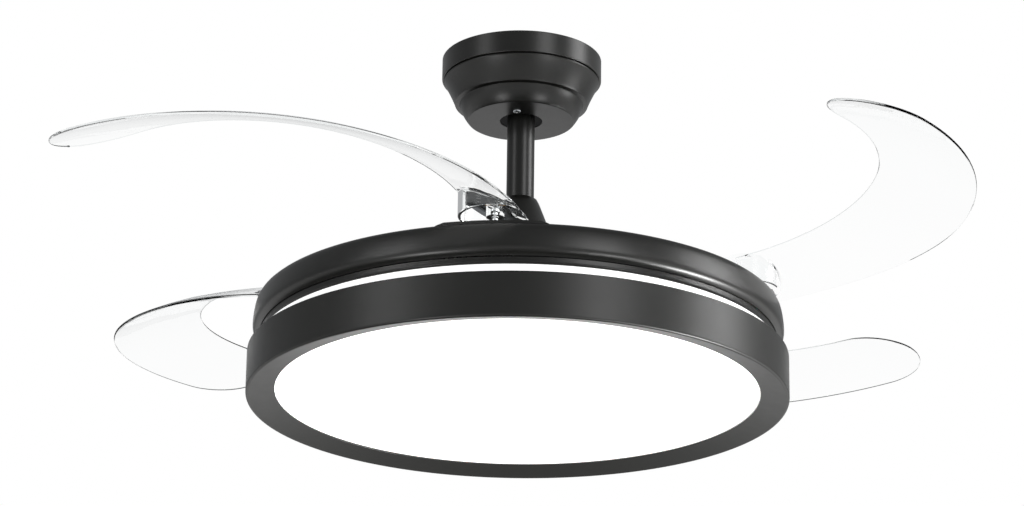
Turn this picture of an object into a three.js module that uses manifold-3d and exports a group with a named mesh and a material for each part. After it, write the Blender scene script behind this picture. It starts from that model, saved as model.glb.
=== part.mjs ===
// Ceiling fan with four clear blades that fold over a round drum lamp.
// Millimetres, +Z up. The origin is the middle of the hanger bracket's top face, on the ceiling.
// The fan hangs down from there. The photographed side faces -Y.

import * as THREE from 'three';
import { mergeVertices } from 'three/addons/utils/BufferGeometryUtils.js';
import Module from 'manifold-3d';

const wasm = await Module();
wasm.setup();

// ---------------------------------------------------------------------------
// Driving dimensions, in millimetres and degrees
// ---------------------------------------------------------------------------

const SEAT_GAP = 0.3; // between two pieces that sit on each other
const RUN_GAP = 0.9; // between two pieces that turn past each other

// Hanger bracket, bent from one steel strip
const STRIP = 2.5;
const EAR_ROOM = 2.4; // from an ear of the bracket out to the canopy's neck
const BRACKET_WIDTH = 34;
const EAR_DEPTH = 18;
const BALL_SIDE_ROOM = 2.5;
const BALL_TOP_ROOM = 5;
const SLOT_WIDTH = 5.5;
const SLOT_LENGTH = 12;
const SLOT_CENTRE = 47;
const WIRE_HOLE_R = 5;
const WIRE_HOLE_X = 13;

// Hanger ball and rod
const ROD_R = 13;
const ROD_WALL = 1.8;
const BALL_WALL = 5; // from the rod out to the widest line of the ball
const ROD_LENGTH = 160;
const ROD_ABOVE_BALL = 12;
const CROSS_PIN_R = 3;
const SEAT_HOLE_ROOM = 2.5;

// Canopy: a trim band over a two-step spun bowl
const BAND_R = 75.5;
const BAND_DEPTH = 21.5;
const CANOPY_DEPTH = 62;
const CANOPY_SHEET = 1.4;
const CANOPY_SHOULDER_INSET = 1.9; // insets are measured from the band's outside
const CANOPY_STEP_INSET = 12.3;
const CANOPY_STEP = 4.8;
const CANOPY_STEP_DEPTH = 45.6;
const CANOPY_FLOOR_INSET = 25.5;
const CANOPY_HOLE_ROOM = 7; // from the rod out to the edge of the hole
const SCREW_ROOM = 1.8;
const SCREW_R = 1.9;
const SCREW_HEAD_R = 4;
const SCREW_HEAD = 0.9;

// Wiring boxes inside the canopy
const RECEIVER = { length: 32, width: 28, height: 16 };
const TERMINAL = { length: 24, width: 18, height: 11, ways: 3 };

// Rod collar and its cover
const COLLAR_WALL = 5.5;
const COLLAR_SOCKET = 18;
const COLLAR_BELOW_ROD = 16;
const COLLAR_FLANGE_WIDTH = 6.5;
const COLLAR_FLANGE = 5;
const CLEVIS_PIN_R = 2.8;
const CLEVIS_PIN_SPARE = 2.5; // the pin stands out of the collar by this much at its foot
const COVER_ABOVE_COLLAR = 14.5;
const COVER_HEIGHT = 56;
const COVER_MOUTH_R = 46;
const COVER_SHEET = 1.4;

// Motor: a still stator on a hollow shaft, inside a turning shell
const SHAFT_R = 8.5;
const SHAFT_BORE_R = 5;
const SHAFT_NECK = 11.2;
const MOTOR_R = 77;
const MOTOR_HEIGHT = 51;
const MOTOR_WALL = 3;
const MOTOR_FLANGE_WIDTH = 15;
const BEARING_R = 17.5;
const BEARING_WIDTH = 10;
const MAGNET_ROOM = 2.6; // from the magnet ring out to the shell
const STATOR_STACK = 18;
const STATOR_TEETH = 9;
const AIR_GAP = 1.4;
const MAGNET_WALL = 5;

// Blade drum: a dished tray that carries the four blades, closed below by a cover
const DRUM_R = 245.7;
const DRUM_TOP_INSET = 4.7; // insets are measured from the drum's widest line
const DRUM_BAND_HEIGHT = 30.3;
const DRUM_BULGE_SHARE = 0.72; // how far down the band the widest line lies
const DRUM_SHEET = 1.2;
const DRUM_LIP_INSET = 6.8;
const DRUM_LIP_HEIGHT = 6;
const DRUM_HOLE_R = 30;
const COVER_HOLE_R = 24;
const PAD_R = 50;
const PAD_RAMP = 5;
const PAD_HEIGHT = 2.3;

// Blades, pivots and the gears that keep the four in step
const BLADE_COUNT = 4;
const FIRST_PIVOT_DEG = -5.8;
const PIVOT_INSET = 35.7;
const PIVOT_STAND = 13.5; // from the pad up to the underside of a blade's hub
const BLADE_LENGTH = 459;
const BLADE_ARC_R = 211.5;
const BLADE_HEADING_DEG = -13.7;
const BLADE_RISE = 33;
const BLADE_PITCH_ROOT_DEG = 24.5;
const BLADE_PITCH_TIP_DEG = 14.5;
const BLADE_THICKNESS = 3;
const BLADE_EDGE = 1.3;
const BLADE_CAMBER = 3;
const BLADE_OUTER_HALF = 51.6; // half widths: at the blade's middle and at its tip
const BLADE_OUTER_TIP_HALF = 44.3;
const BLADE_INNER_HALF = 37.2;
const BLADE_INNER_TIP_HALF = 40.4;
const BLADE_TIP_START = 0.878; // share of the length where the tip begins to round off
const HUB_R = 33;
const HUB_MARGIN = 0.6; // from the hub out to the blade's edge beside the pivot
const HUB_WALL = 2.6;
const HUB_BOSS_R = 8;
const HUB_BOSS_RISE = 2.2; // from the middle of the blade at the pivot up to the boss's top
const HUB_LOW_EDGE = 8; // from the hub's underside up to the middle of the blade at the pivot
const PIN_R = 2.9;
const PIN_COLLAR_R = 5.4;
const PIN_HEAD_R = 4.7;
const PIN_HEAD = 3;
const BUSH_WALL = 2.6;
const BUSH_FLANGE = 1.6;
const SECTOR_TEETH_ROUND = 28;
const RING_TEETH_ROUND = 140;
const GEAR_WIDTH = 5;
const GEAR_DROP = 6; // from the drum's sheet down to the gears
const RING_BAND = 11.5;
const BACKLASH = 0.35;
const PRESSURE_DEG = 20;
const SECTOR_TEETH = 10;
const RING_ARC_TEETH = 10;
const RING_GUIDE_WALL = 2.4;

// Return spring round each pivot pin
const SPRING_WIRE = 1.8;
const SPRING_COIL_R = 8.6;
const SPRING_CURLS = 3;
const SPRING_STEPS = 6; // to one curl
const SPRING_LEAD = 2.5;
const SPRING_LEG = 9;
const STOP_POST_R = 2.2;

// Drum lamp
const LAMP_R = 250;
const LAMP_HEIGHT = 41.9;
const LAMP_GAP = 10.9; // open height between the drum's lip and the lamp's hoop
const HOOP_WALL = 1.6;
const HOOP_BEVEL = 1.8;
const BEZEL_WIDTH = 26.5;
const BEZEL_RISE = 8;
const BEZEL_EDGE = 1.2;
const BASE_INSET = 10.5; // from the hoop's outside in to the base
const BASE_SHEET = 1;
const BASE_RIM = 22.6;
const LEDGE_DROP = 8;
const LEDGE = 2;
const DIFFUSER_WALL = 2.2;
const DIFFUSER_RIM = 24;
const BOARD_MARGIN = 31.5;
const BOARD_HOLE_R = 85;
const BOARD_SHEET = 1.6;
const CARRIER_R = 40;
const CARRIER_BOSS_R = 15;
const CARRIER_FLANGE = 3.4;
const CARRIER_GRIP = 18;
const NUT_FLAT_R = 13;
const NUT_HEIGHT = 7;
const SHAFT_BELOW_NUT = 2;
const DRIVER = { length: 78, width: 25, height: 20, offset: 43 };

// Facets: large rims share one count, so that neighbours keep their gap all the way round
const RIM_SEGMENTS = 36;
const CANOPY_SEGMENTS = 24;
const MOTOR_SEGMENTS = 20;
const SMALL_SEGMENTS = 16;
const PIN_SEGMENTS = 8;

// ---------------------------------------------------------------------------
// Heights and radii that follow from the driving dimensions
// ---------------------------------------------------------------------------

const rad = THREE.MathUtils.degToRad;

const ballR = ROD_R + BALL_WALL;
const collarR = ROD_R + COLLAR_WALL;
const collarFlangeR = collarR + COLLAR_FLANGE_WIDTH;
const canopyHoleR = ROD_R + CANOPY_HOLE_ROOM;
const canopyStepR = BAND_R - CANOPY_STEP_INSET;
const canopyFloorR = BAND_R - CANOPY_FLOOR_INSET;
const bowlNeckR = BAND_R - CANOPY_SHEET - SCREW_ROOM;
const bracketEnd = bowlNeckR - CANOPY_SHEET - EAR_ROOM;

const ballZ = -(STRIP + BALL_TOP_ROOM + ballR);
const seatHoleR = ROD_R + SEAT_HOLE_ROOM;
const seatTopZ = ballZ - Math.sqrt((ballR + SEAT_GAP) ** 2 - seatHoleR ** 2);
const rodTopZ = ballZ + ROD_ABOVE_BALL;
const rodBottomZ = rodTopZ - ROD_LENGTH;

const collarTopZ = rodBottomZ + COLLAR_SOCKET;
const collarBottomZ = rodBottomZ - COLLAR_BELOW_ROD;
const clevisZ = rodBottomZ + COLLAR_SOCKET / 2;
const coverTopZ = collarTopZ + COVER_ABOVE_COLLAR;
const coverBottomZ = coverTopZ - COVER_HEIGHT;

const motorFlangeR = MOTOR_R + MOTOR_FLANGE_WIDTH;
const motorTopZ = collarBottomZ - SHAFT_NECK;
const motorBottomZ = motorTopZ - MOTOR_HEIGHT;
const motorMidZ = (motorTopZ + motorBottomZ) / 2;
const bearingSeatR = BEARING_R + SEAT_GAP;
const bearingWallR = bearingSeatR + MOTOR_WALL;
const upperBearingTopZ = motorTopZ - MOTOR_WALL - SEAT_GAP;
const lowerBearingBottomZ = motorBottomZ + MOTOR_WALL + SEAT_GAP;
const magnetOuterR = MOTOR_R - MOTOR_WALL - MAGNET_ROOM;
const magnetInnerR = magnetOuterR - MAGNET_WALL;
const statorR = magnetInnerR - AIR_GAP;
const shaftTopZ = rodBottomZ - 2 * SEAT_GAP;

const drumTopR = DRUM_R - DRUM_TOP_INSET;
const drumLipR = DRUM_R - DRUM_LIP_INSET;
const drumTopZ = motorBottomZ - SEAT_GAP;
const drumCeilingZ = drumTopZ - DRUM_SHEET;
const drumBottomZ = drumTopZ - DRUM_BAND_HEIGHT;
const lipTopZ = drumBottomZ - SEAT_GAP;
const lipBottomZ = lipTopZ - DRUM_LIP_HEIGHT;
const coverFloorZ = lipBottomZ + DRUM_SHEET;
const padTopZ = drumTopZ + PAD_HEIGHT;

const hubBottomZ = padTopZ + PIVOT_STAND;
const bladeRootZ = hubBottomZ + HUB_LOW_EDGE;
const bladeRootHalf = HUB_R + HUB_MARGIN;
const bushFlangeTopZ = padTopZ + SEAT_GAP + BUSH_FLANGE;
const pinTopZ = bladeRootZ;
const gearTopZ = drumCeilingZ - GEAR_DROP;
const gearBottomZ = gearTopZ - GEAR_WIDTH;
const pinBottomZ = coverFloorZ + RUN_GAP;
const pivotRadius = DRUM_R - PIVOT_INSET;
const gearModule = (2 * pivotRadius) / (SECTOR_TEETH_ROUND + RING_TEETH_ROUND);
const ringPitchR = (gearModule * RING_TEETH_ROUND) / 2;
const ringInnerR = ringPitchR - RING_BAND;

const baseR = LAMP_R - BASE_INSET;
const bezelR = LAMP_R - BEZEL_WIDTH;
const boardR = baseR - BOARD_MARGIN;
const baseTopZ = lipBottomZ - RUN_GAP;
const baseCeilingZ = baseTopZ - BASE_SHEET;
const hoopTopZ = lipBottomZ - LAMP_GAP;
const hoopBottomZ = hoopTopZ - LAMP_HEIGHT;
const bezelInnerZ = hoopBottomZ + BEZEL_RISE;
const diffuserFaceZ = bezelInnerZ + SEAT_GAP;
const carrierTopZ = baseCeilingZ - SEAT_GAP;
const carrierBottomZ = carrierTopZ - CARRIER_FLANGE;
const nutTopZ = carrierBottomZ - SEAT_GAP;
const shaftBottomZ = nutTopZ - NUT_HEIGHT - SHAFT_BELOW_NUT;

// ---------------------------------------------------------------------------
// Finishes
// ---------------------------------------------------------------------------

function finish(color, roughness, metalness, opacity = 1) {
  return new THREE.MeshStandardMaterial({
    color,
    roughness,
    metalness,
    opacity,
    transparent: opacity < 1,
  });
}

const BLACK_PAINT = { color: 0x2b2b29, roughness: 0.36, metalness: 0.1 };
const ZINC = { color: 0xb4b6b8, roughness: 0.34, metalness: 0.9 };
const STEEL = { color: 0x9a9c9e, roughness: 0.3, metalness: 0.95 };
const CAST_ALUMINIUM = { color: 0x8d9093, roughness: 0.5, metalness: 0.85 };
const WHITE_PAINT = { color: 0xf2f2f0, roughness: 0.4, metalness: 0 };
const OPAL = { color: 0xfbfbfa, roughness: 0.35, metalness: 0 };
const CLEAR = { color: 0xf4f8f8, roughness: 0.06, metalness: 0, opacity: 0.3 };
const NYLON = { color: 0xdedbd0, roughness: 0.55, metalness: 0 };
const BLACK_PLASTIC = { color: 0x232425, roughness: 0.6, metalness: 0 };
const WHITE_PLASTIC = { color: 0xe6e6e2, roughness: 0.5, metalness: 0 };
const BRONZE = { color: 0x9c7440, roughness: 0.5, metalness: 0.8 };
const FERRITE = { color: 0x3c3b3d, roughness: 0.7, metalness: 0.2 };
const WINDING = { color: 0xa9673a, roughness: 0.45, metalness: 0.6 };

function part(name, geometry, look) {
  const material = finish(look.color, look.roughness, look.metalness, look.opacity);
  const mesh = new THREE.Mesh(geometry, material);
  mesh.name = name;
  return mesh;
}

// ---------------------------------------------------------------------------
// Shapes
// ---------------------------------------------------------------------------

// A closed profile of [radius, height] points turned about the Z axis
function revolve(profile, segments) {
  let area = 0;
  profile.forEach(([r, z], i) => {
    const [r2, z2] = profile[(i + 1) % profile.length];
    area += r * z2 - r2 * z;
  });
  const ordered = area > 0 ? [...profile] : [...profile].reverse();
  ordered.push(ordered[0]);
  const points = ordered.map(([r, z]) => new THREE.Vector2(r, z));
  return new THREE.LatheGeometry(points, segments).rotateX(Math.PI / 2);
}

function tube(innerR, outerR, bottomZ, topZ, segments) {
  return revolve([[innerR, bottomZ], [outerR, bottomZ], [outerR, topZ], [innerR, topZ]], segments);
}

function rod(radius, bottomZ, topZ, segments) {
  const height = topZ - bottomZ;
  return new THREE.CylinderGeometry(radius, radius, height, segments)
    .rotateX(Math.PI / 2)
    .translate(0, 0, bottomZ + height / 2);
}

function block(x0, x1, y0, y1, z0, z1) {
  return new THREE.BoxGeometry(x1 - x0, y1 - y0, z1 - z0)
    .translate((x0 + x1) / 2, (y0 + y1) / 2, (z0 + z1) / 2);
}

function prism(outline, bottomZ, topZ, holes = []) {
  const shape = new THREE.Shape(outline.map(([x, y]) => new THREE.Vector2(x, y)));
  for (const hole of holes) {
    shape.holes.push(new THREE.Path(hole.map(([x, y]) => new THREE.Vector2(x, y))));
  }
  const depth = topZ - bottomZ;
  return new THREE.ExtrudeGeometry(shape, { depth, bevelEnabled: false }).translate(0, 0, bottomZ);
}

function circlePoints(radius, count, cx = 0, cy = 0) {
  return Array.from({ length: count }, (_, i) => {
    const a = (2 * Math.PI * i) / count;
    return [cx + radius * Math.cos(a), cy + radius * Math.sin(a)];
  });
}

// Points of a round stretch in a profile, both ends included
function arcPoints(cr, cz, radius, fromDeg, toDeg, steps) {
  return Array.from({ length: steps + 1 }, (_, i) => {
    const a = rad(fromDeg + ((toDeg - fromDeg) * i) / steps);
    return [cr + radius * Math.cos(a), cz + radius * Math.sin(a)];
  });
}

// ---------------------------------------------------------------------------
// Joining and cutting
// ---------------------------------------------------------------------------

function solid(geometry) {
  const bare = geometry.clone();
  bare.deleteAttribute('normal');
  bare.deleteAttribute('uv');
  const merged = mergeVertices(bare, 1e-4);
  const mesh = new wasm.Mesh({
    numProp: 3,
    vertProperties: new Float32Array(merged.attributes.position.array),
    triVerts: new Uint32Array(merged.index.array),
  });
  return new wasm.Manifold(mesh);
}

function shape(manifold) {
  const mesh = manifold.getMesh();
  const geometry = new THREE.BufferGeometry();
  geometry.setAttribute('position', new THREE.BufferAttribute(mesh.vertProperties, 3));
  geometry.setIndex(new THREE.BufferAttribute(mesh.triVerts, 1));
  geometry.computeVertexNormals();
  return geometry;
}

function join(geometries) {
  return geometries.map(solid).reduce((all, next) => all.add(next));
}

function cut(geometry, tools) {
  return shape(tools.reduce((left, tool) => left.subtract(solid(tool)), solid(geometry)));
}

// ---------------------------------------------------------------------------
// Hanger and canopy
// ---------------------------------------------------------------------------

// One bent strip: a long bar with an ear at each end, and a yoke whose floor is the ball's seat
function hangerBracket() {
  const end = bracketEnd;
  const armIn = ballR + BALL_SIDE_ROOM;
  const armOut = armIn + STRIP;
  const seatBottomZ = seatTopZ - STRIP;
  const half = [
    [end, 0], [end, -EAR_DEPTH], [end - STRIP, -EAR_DEPTH], [end - STRIP, -STRIP],
    [armOut, -STRIP], [armOut, seatBottomZ],
  ];
  const outline = [...half, ...half.map(([x, z]) => [-x, z]).reverse()];
  const window = [[armIn, -STRIP], [-armIn, -STRIP], [-armIn, seatTopZ], [armIn, seatTopZ]];
  const bar = prism(outline, -BRACKET_WIDTH / 2, BRACKET_WIDTH / 2, [window]).rotateX(Math.PI / 2);
  const cuts = [
    rod(seatHoleR, seatBottomZ - 1, seatTopZ + 1, 24),
    block(-ROD_R - 1, ROD_R + 1, 0, BRACKET_WIDTH, seatBottomZ - 1, seatTopZ + 1),
    rod(WIRE_HOLE_R, -STRIP - 1, 1, SMALL_SEGMENTS).translate(WIRE_HOLE_X, 0, 0),
  ];
  for (const side of [-1, 1]) {
    const x = side * SLOT_CENTRE;
    const slotHalf = SLOT_WIDTH / 2;
    cuts.push(block(x - slotHalf, x + slotHalf, -SLOT_LENGTH / 2, SLOT_LENGTH / 2, -STRIP - 1, 1));
    cuts.push(screwHole().translate(side * end, 0, 0));
  }
  return cut(bar, cuts);
}

function canopyScrewZ() {
  return -EAR_DEPTH * 0.6;
}

function screwHole() {
  const length = 16;
  return rod(SCREW_R + SEAT_GAP, -length / 2, length / 2, PIN_SEGMENTS)
    .rotateY(Math.PI / 2)
    .translate(0, 0, canopyScrewZ());
}

// Outer line of the spun bowl, from its neck down to the edge of its floor
function bowlLine(inset, steps) {
  const shoulderZ = -BAND_DEPTH - SEAT_GAP;
  const neckR = bowlNeckR - inset;
  const upper = new THREE.QuadraticBezierCurve(
    new THREE.Vector2(BAND_R - CANOPY_SHOULDER_INSET - inset, shoulderZ - 0.6),
    new THREE.Vector2(canopyStepR + 5.4 - inset, shoulderZ - 9.2),
    new THREE.Vector2(canopyStepR - inset, -CANOPY_STEP_DEPTH + 1 + inset),
  );
  const lower = new THREE.QuadraticBezierCurve(
    new THREE.Vector2(canopyStepR - CANOPY_STEP - inset, -CANOPY_STEP_DEPTH - 1 + inset),
    new THREE.Vector2(canopyFloorR + 6.2 - inset, -CANOPY_DEPTH + 8),
    new THREE.Vector2(canopyFloorR - inset, -CANOPY_DEPTH + inset),
  );
  const line = [[neckR, -SEAT_GAP], [neckR, shoulderZ - inset]];
  for (const p of upper.getPoints(steps)) {
    line.push([p.x, Math.min(p.y, shoulderZ - 0.6 - inset * 0.8)]);
  }
  for (const p of lower.getPoints(steps - 1)) {
    line.push([p.x, p.y]);
  }
  return line;
}

function canopyBowl() {
  const outer = bowlLine(0, 3);
  const inner = bowlLine(CANOPY_SHEET, 2);
  const floorTop = -CANOPY_DEPTH + CANOPY_SHEET;
  const profile = [
    ...outer,
    [canopyHoleR, -CANOPY_DEPTH],
    [canopyHoleR, floorTop],
    ...inner.reverse(),
  ];
  const holes = [-1, 1].map((side) => screwHole().translate(side * bowlNeckR, 0, 0));
  return cut(revolve(profile, CANOPY_SEGMENTS), holes);
}

// Snap-on trim band: hides the canopy's screws and grips the bowl's neck with its lower lip
function canopyBand() {
  const innerR = BAND_R - CANOPY_SHEET;
  const gripR = bowlNeckR + SEAT_GAP;
  const profile = [
    [gripR, -BAND_DEPTH], [BAND_R, -BAND_DEPTH], [BAND_R, -1.2], [BAND_R - 1, -SEAT_GAP],
    [innerR - 0.6, -SEAT_GAP], [innerR, -1.6], [innerR, -BAND_DEPTH + 1.4], [gripR, -BAND_DEPTH + 1.4],
  ];
  return revolve(profile, CANOPY_SEGMENTS);
}

// Pan-head screw along X, its head under the band
function canopyScrew(side) {
  const headIn = bowlNeckR + SEAT_GAP;
  const shankIn = bracketEnd - STRIP - 2;
  const profile = [
    [0, shankIn], [SCREW_R, shankIn], [SCREW_R, headIn],
    [SCREW_HEAD_R, headIn], [SCREW_HEAD_R - 1, headIn + SCREW_HEAD], [0, headIn + SCREW_HEAD],
  ];
  const points = profile.map(([r, x]) => new THREE.Vector2(r, x));
  return new THREE.LatheGeometry(points, PIN_SEGMENTS)
    .rotateZ(-side * Math.PI / 2)
    .translate(0, 0, canopyScrewZ());
}

function roundedBox(length, width, height, corner) {
  const x = length / 2 - corner;
  const y = width / 2 - corner;
  const outline = [];
  for (const [sx, sy, from] of [[1, 1, 0], [-1, 1, 90], [-1, -1, 180], [1, -1, 270]]) {
    for (const [px, py] of arcPoints(sx * x, sy * y, corner, from, from + 90, 2)) {
      outline.push([px, py]);
    }
  }
  return prism(outline, 0, height);
}

function receiverBox() {
  const armOut = ballR + BALL_SIDE_ROOM + STRIP;
  const room = (bracketEnd - STRIP - armOut) / 2;
  return roundedBox(RECEIVER.length, RECEIVER.width, RECEIVER.height, 3)
    .translate(armOut + room, 0, -STRIP - SEAT_GAP - RECEIVER.height);
}

// Comb-shaped terminal block, one well for each pair of wires
function terminalBlock() {
  const { length, width, height, ways } = TERMINAL;
  const armOut = ballR + BALL_SIDE_ROOM + STRIP;
  const x = -(armOut + (bracketEnd - STRIP - armOut) / 2);
  const top = -STRIP - SEAT_GAP;
  const body = block(x - length / 2, x + length / 2, -width / 2, width / 2, top - height, top);
  const pitch = length / ways;
  const wells = Array.from({ length: ways }, (_, i) => {
    const cx = x + (i - (ways - 1) / 2) * pitch;
    return block(cx - pitch * 0.32, cx + pitch * 0.32, -width / 4, width / 4, top - height - 1, top - height / 2);
  });
  return cut(body, wells);
}

// Split ball that carries the rod: a zone of a sphere with a slot for the cross pin
function hangerBall() {
  const bore = ROD_R + SEAT_GAP;
  const topDeg = 32;
  const bottomDeg = -THREE.MathUtils.radToDeg(Math.acos((bore + 1) / ballR));
  const zone = arcPoints(0, 0, ballR, bottomDeg, topDeg, 5);
  const profile = [...zone, [bore, zone[5][1]], [bore, zone[0][1]]];
  const pinSlot = rod(CROSS_PIN_R + SEAT_GAP, -ballR - 2, ballR + 2, PIN_SEGMENTS).rotateX(Math.PI / 2);
  return cut(revolve(profile, SMALL_SEGMENTS), [pinSlot]).translate(0, 0, ballZ);
}

function crossPin() {
  const half = ballR - 2;
  return rod(CROSS_PIN_R, -half, half, PIN_SEGMENTS).rotateX(Math.PI / 2).translate(0, 0, ballZ);
}

// Painted steel tube with a cross hole for the ball's pin and one for the collar's clevis pin
function downrod() {
  const wall = tube(ROD_R - ROD_WALL, ROD_R, rodBottomZ, rodTopZ, SMALL_SEGMENTS);
  const across = 2 * ROD_R + 4;
  const pinHole = rod(CROSS_PIN_R + SEAT_GAP, -across / 2, across / 2, PIN_SEGMENTS)
    .rotateX(Math.PI / 2).translate(0, 0, ballZ);
  const clevisHole = rod(CLEVIS_PIN_R + SEAT_GAP, -across / 2, across / 2, PIN_SEGMENTS)
    .rotateY(Math.PI / 2).translate(0, 0, clevisZ);
  return cut(wall, [pinHole, clevisHole]);
}

// ---------------------------------------------------------------------------
// Rod collar and motor
// ---------------------------------------------------------------------------

function rodCollar() {
  const socketR = ROD_R + SEAT_GAP;
  const socketFloorZ = rodBottomZ - SEAT_GAP;
  const boreR = SHAFT_R + SEAT_GAP;
  const profile = [
    [boreR, collarBottomZ], [collarFlangeR, collarBottomZ],
    [collarFlangeR, collarBottomZ + COLLAR_FLANGE], [collarR + 1, collarBottomZ + COLLAR_FLANGE + 2],
    [collarR, collarTopZ - 1.5], [collarR - 1.5, collarTopZ], [socketR, collarTopZ],
    [socketR, socketFloorZ], [boreR, socketFloorZ],
  ];
  const hole = rod(CLEVIS_PIN_R + SEAT_GAP, -collarR - 4, collarR + 4, PIN_SEGMENTS)
    .rotateY(Math.PI / 2).translate(0, 0, clevisZ);
  return cut(revolve(profile, SMALL_SEGMENTS), [hole]);
}

// Headed clevis pin along X
function clevisPin() {
  const foot = collarR + CLEVIS_PIN_SPARE;
  const headIn = collarR + 1 + SEAT_GAP;
  const profile = [
    [0, -foot], [CLEVIS_PIN_R, -foot], [CLEVIS_PIN_R, headIn],
    [CLEVIS_PIN_R + 1.6, headIn], [CLEVIS_PIN_R + 1.6, headIn + 1.6], [0, headIn + 1.6],
  ];
  const points = profile.map(([r, y]) => new THREE.Vector2(r, y));
  return new THREE.LatheGeometry(points, PIN_SEGMENTS).rotateZ(-Math.PI / 2).translate(0, 0, clevisZ);
}

// Bell over the collar: round shoulder at the rod, long cone, then a flare to its mouth
function collarCover() {
  const neckR = ROD_R + SEAT_GAP;
  const coneR = neckR + 9.6;
  const flareZ = coverTopZ - COVER_HEIGHT * 0.66;
  const outer = [
    [neckR + 0.4, coverTopZ], [neckR + 2.8, coverTopZ - 1.6], [neckR + 5, coverTopZ - 6],
    [neckR + 7.3, coverTopZ - 12], [coneR, coverTopZ - 18], [coneR + 7, flareZ],
    [COVER_MOUTH_R - 6, coverBottomZ + 9], [COVER_MOUTH_R - 1, coverBottomZ + 5],
    [COVER_MOUTH_R, coverBottomZ],
  ];
  const inner = [outer[3], outer[5], outer[6], outer[8]].map(([r, z]) => [r - COVER_SHEET, z]);
  const profile = [...outer, ...inner.reverse(), [neckR, coverTopZ - 5], [neckR, coverTopZ]];
  return revolve(profile, MOTOR_SEGMENTS);
}

// Hollow shaft: the upper bearing and the stator seat against its shoulder from both sides
function motorShaft() {
  const shoulderR = SHAFT_R + 2.5;
  const shoulderTopZ = upperBearingTopZ - BEARING_WIDTH - SEAT_GAP;
  const shoulderBottomZ = motorMidZ + STATOR_STACK / 2 + SEAT_GAP;
  const profile = [
    [SHAFT_BORE_R, shaftBottomZ], [SHAFT_R, shaftBottomZ], [SHAFT_R, shoulderBottomZ],
    [shoulderR, shoulderBottomZ], [shoulderR, shoulderTopZ], [SHAFT_R, shoulderTopZ],
    [SHAFT_R, shaftTopZ], [SHAFT_BORE_R, shaftTopZ],
  ];
  return revolve(profile, SMALL_SEGMENTS);
}

function bearing(topZ) {
  const bottomZ = topZ - BEARING_WIDTH;
  const innerR = SHAFT_R + SEAT_GAP;
  const shield = 0.8;
  const raceIn = innerR + 2.6;
  const raceOut = BEARING_R - 2.6;
  const profile = [
    [innerR, bottomZ], [BEARING_R, bottomZ], [BEARING_R, topZ], [raceOut, topZ],
    [raceOut, topZ - shield], [raceIn, topZ - shield], [raceIn, topZ], [innerR, topZ],
  ];
  return revolve(profile, SMALL_SEGMENTS - 4);
}

// Laminated stator: T-shaped teeth round a hub, with the end turns as a ring on each face
function stator() {
  const boreR = SHAFT_R + SEAT_GAP;
  const yokeR = statorR * 0.55;
  const shoeR = statorR * 0.91;
  const pitch = (2 * Math.PI) / STATOR_TEETH;
  const outline = [];
  for (let i = 0; i < STATOR_TEETH; i += 1) {
    const mid = i * pitch;
    for (const [r, share] of [
      [yokeR, -0.3], [shoeR, -0.14], [shoeR, -0.4], [statorR, -0.42],
      [statorR, 0.42], [shoeR, 0.4], [shoeR, 0.14], [yokeR, 0.3],
    ]) {
      outline.push([r * Math.cos(mid + share * pitch), r * Math.sin(mid + share * pitch)]);
    }
  }
  const half = STATOR_STACK / 2;
  const bore = circlePoints(boreR, SMALL_SEGMENTS).reverse();
  const core = prism(outline, motorMidZ - half, motorMidZ + half, [bore]);
  const turnsIn = yokeR + 3;
  const turnsOut = shoeR - 3;
  const bulge = 4.5;
  const turns = [-1, 1].map((side) => {
    const face = motorMidZ + side * half;
    return revolve([
      [turnsIn, face - side * 0.5], [turnsOut, face - side * 0.5],
      [turnsOut - 3, face + side * bulge], [turnsIn + 3, face + side * bulge],
    ], STATOR_TEETH);
  });
  return shape(join([core, ...turns]));
}

function magnetRing() {
  const half = STATOR_STACK / 2 + 1.5;
  return tube(magnetInnerR, magnetOuterR, motorMidZ - half, motorMidZ + half, MOTOR_SEGMENTS);
}

// Upper cap of the motor, with a domed shoulder and the upper bearing's seat
function motorShellUpper() {
  const ceilingZ = motorTopZ - MOTOR_WALL;
  const wallIn = MOTOR_R - MOTOR_WALL;
  const profile = [
    [SHAFT_R + 2, motorTopZ], [bearingWallR + 4, motorTopZ], [MOTOR_R - 6, motorTopZ - 5],
    [MOTOR_R, motorTopZ - 11], [MOTOR_R, motorMidZ + SEAT_GAP / 2],
    [wallIn, motorMidZ + SEAT_GAP / 2], [wallIn, motorTopZ - 12.5], [MOTOR_R - 8, ceilingZ - 5.4],
    [bearingWallR + 3, ceilingZ], [bearingWallR, ceilingZ],
    [bearingWallR, upperBearingTopZ - BEARING_WIDTH], [bearingSeatR, upperBearingTopZ - BEARING_WIDTH],
    [bearingSeatR, ceilingZ], [SHAFT_R + 2, ceilingZ],
  ];
  return revolve(profile, MOTOR_SEGMENTS);
}

// Lower cap, with the flange that the drum is screwed to and the lower bearing's seat
function motorShellLower() {
  const floorZ = motorBottomZ + MOTOR_WALL;
  const wallIn = MOTOR_R - MOTOR_WALL;
  const bearingTopZ = lowerBearingBottomZ + BEARING_WIDTH;
  const profile = [
    [SHAFT_R + 2, motorBottomZ], [motorFlangeR, motorBottomZ], [motorFlangeR, floorZ],
    [MOTOR_R + 1.5, floorZ], [MOTOR_R, floorZ + 2], [MOTOR_R, motorMidZ - SEAT_GAP / 2],
    [wallIn, motorMidZ - SEAT_GAP / 2], [wallIn, floorZ],
    [bearingWallR, floorZ], [bearingWallR, bearingTopZ], [bearingSeatR, bearingTopZ],
    [bearingSeatR, floorZ], [SHAFT_R + 2, floorZ],
  ];
  return revolve(profile, MOTOR_SEGMENTS);
}

// ---------------------------------------------------------------------------
// Blade drum
// ---------------------------------------------------------------------------

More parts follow.
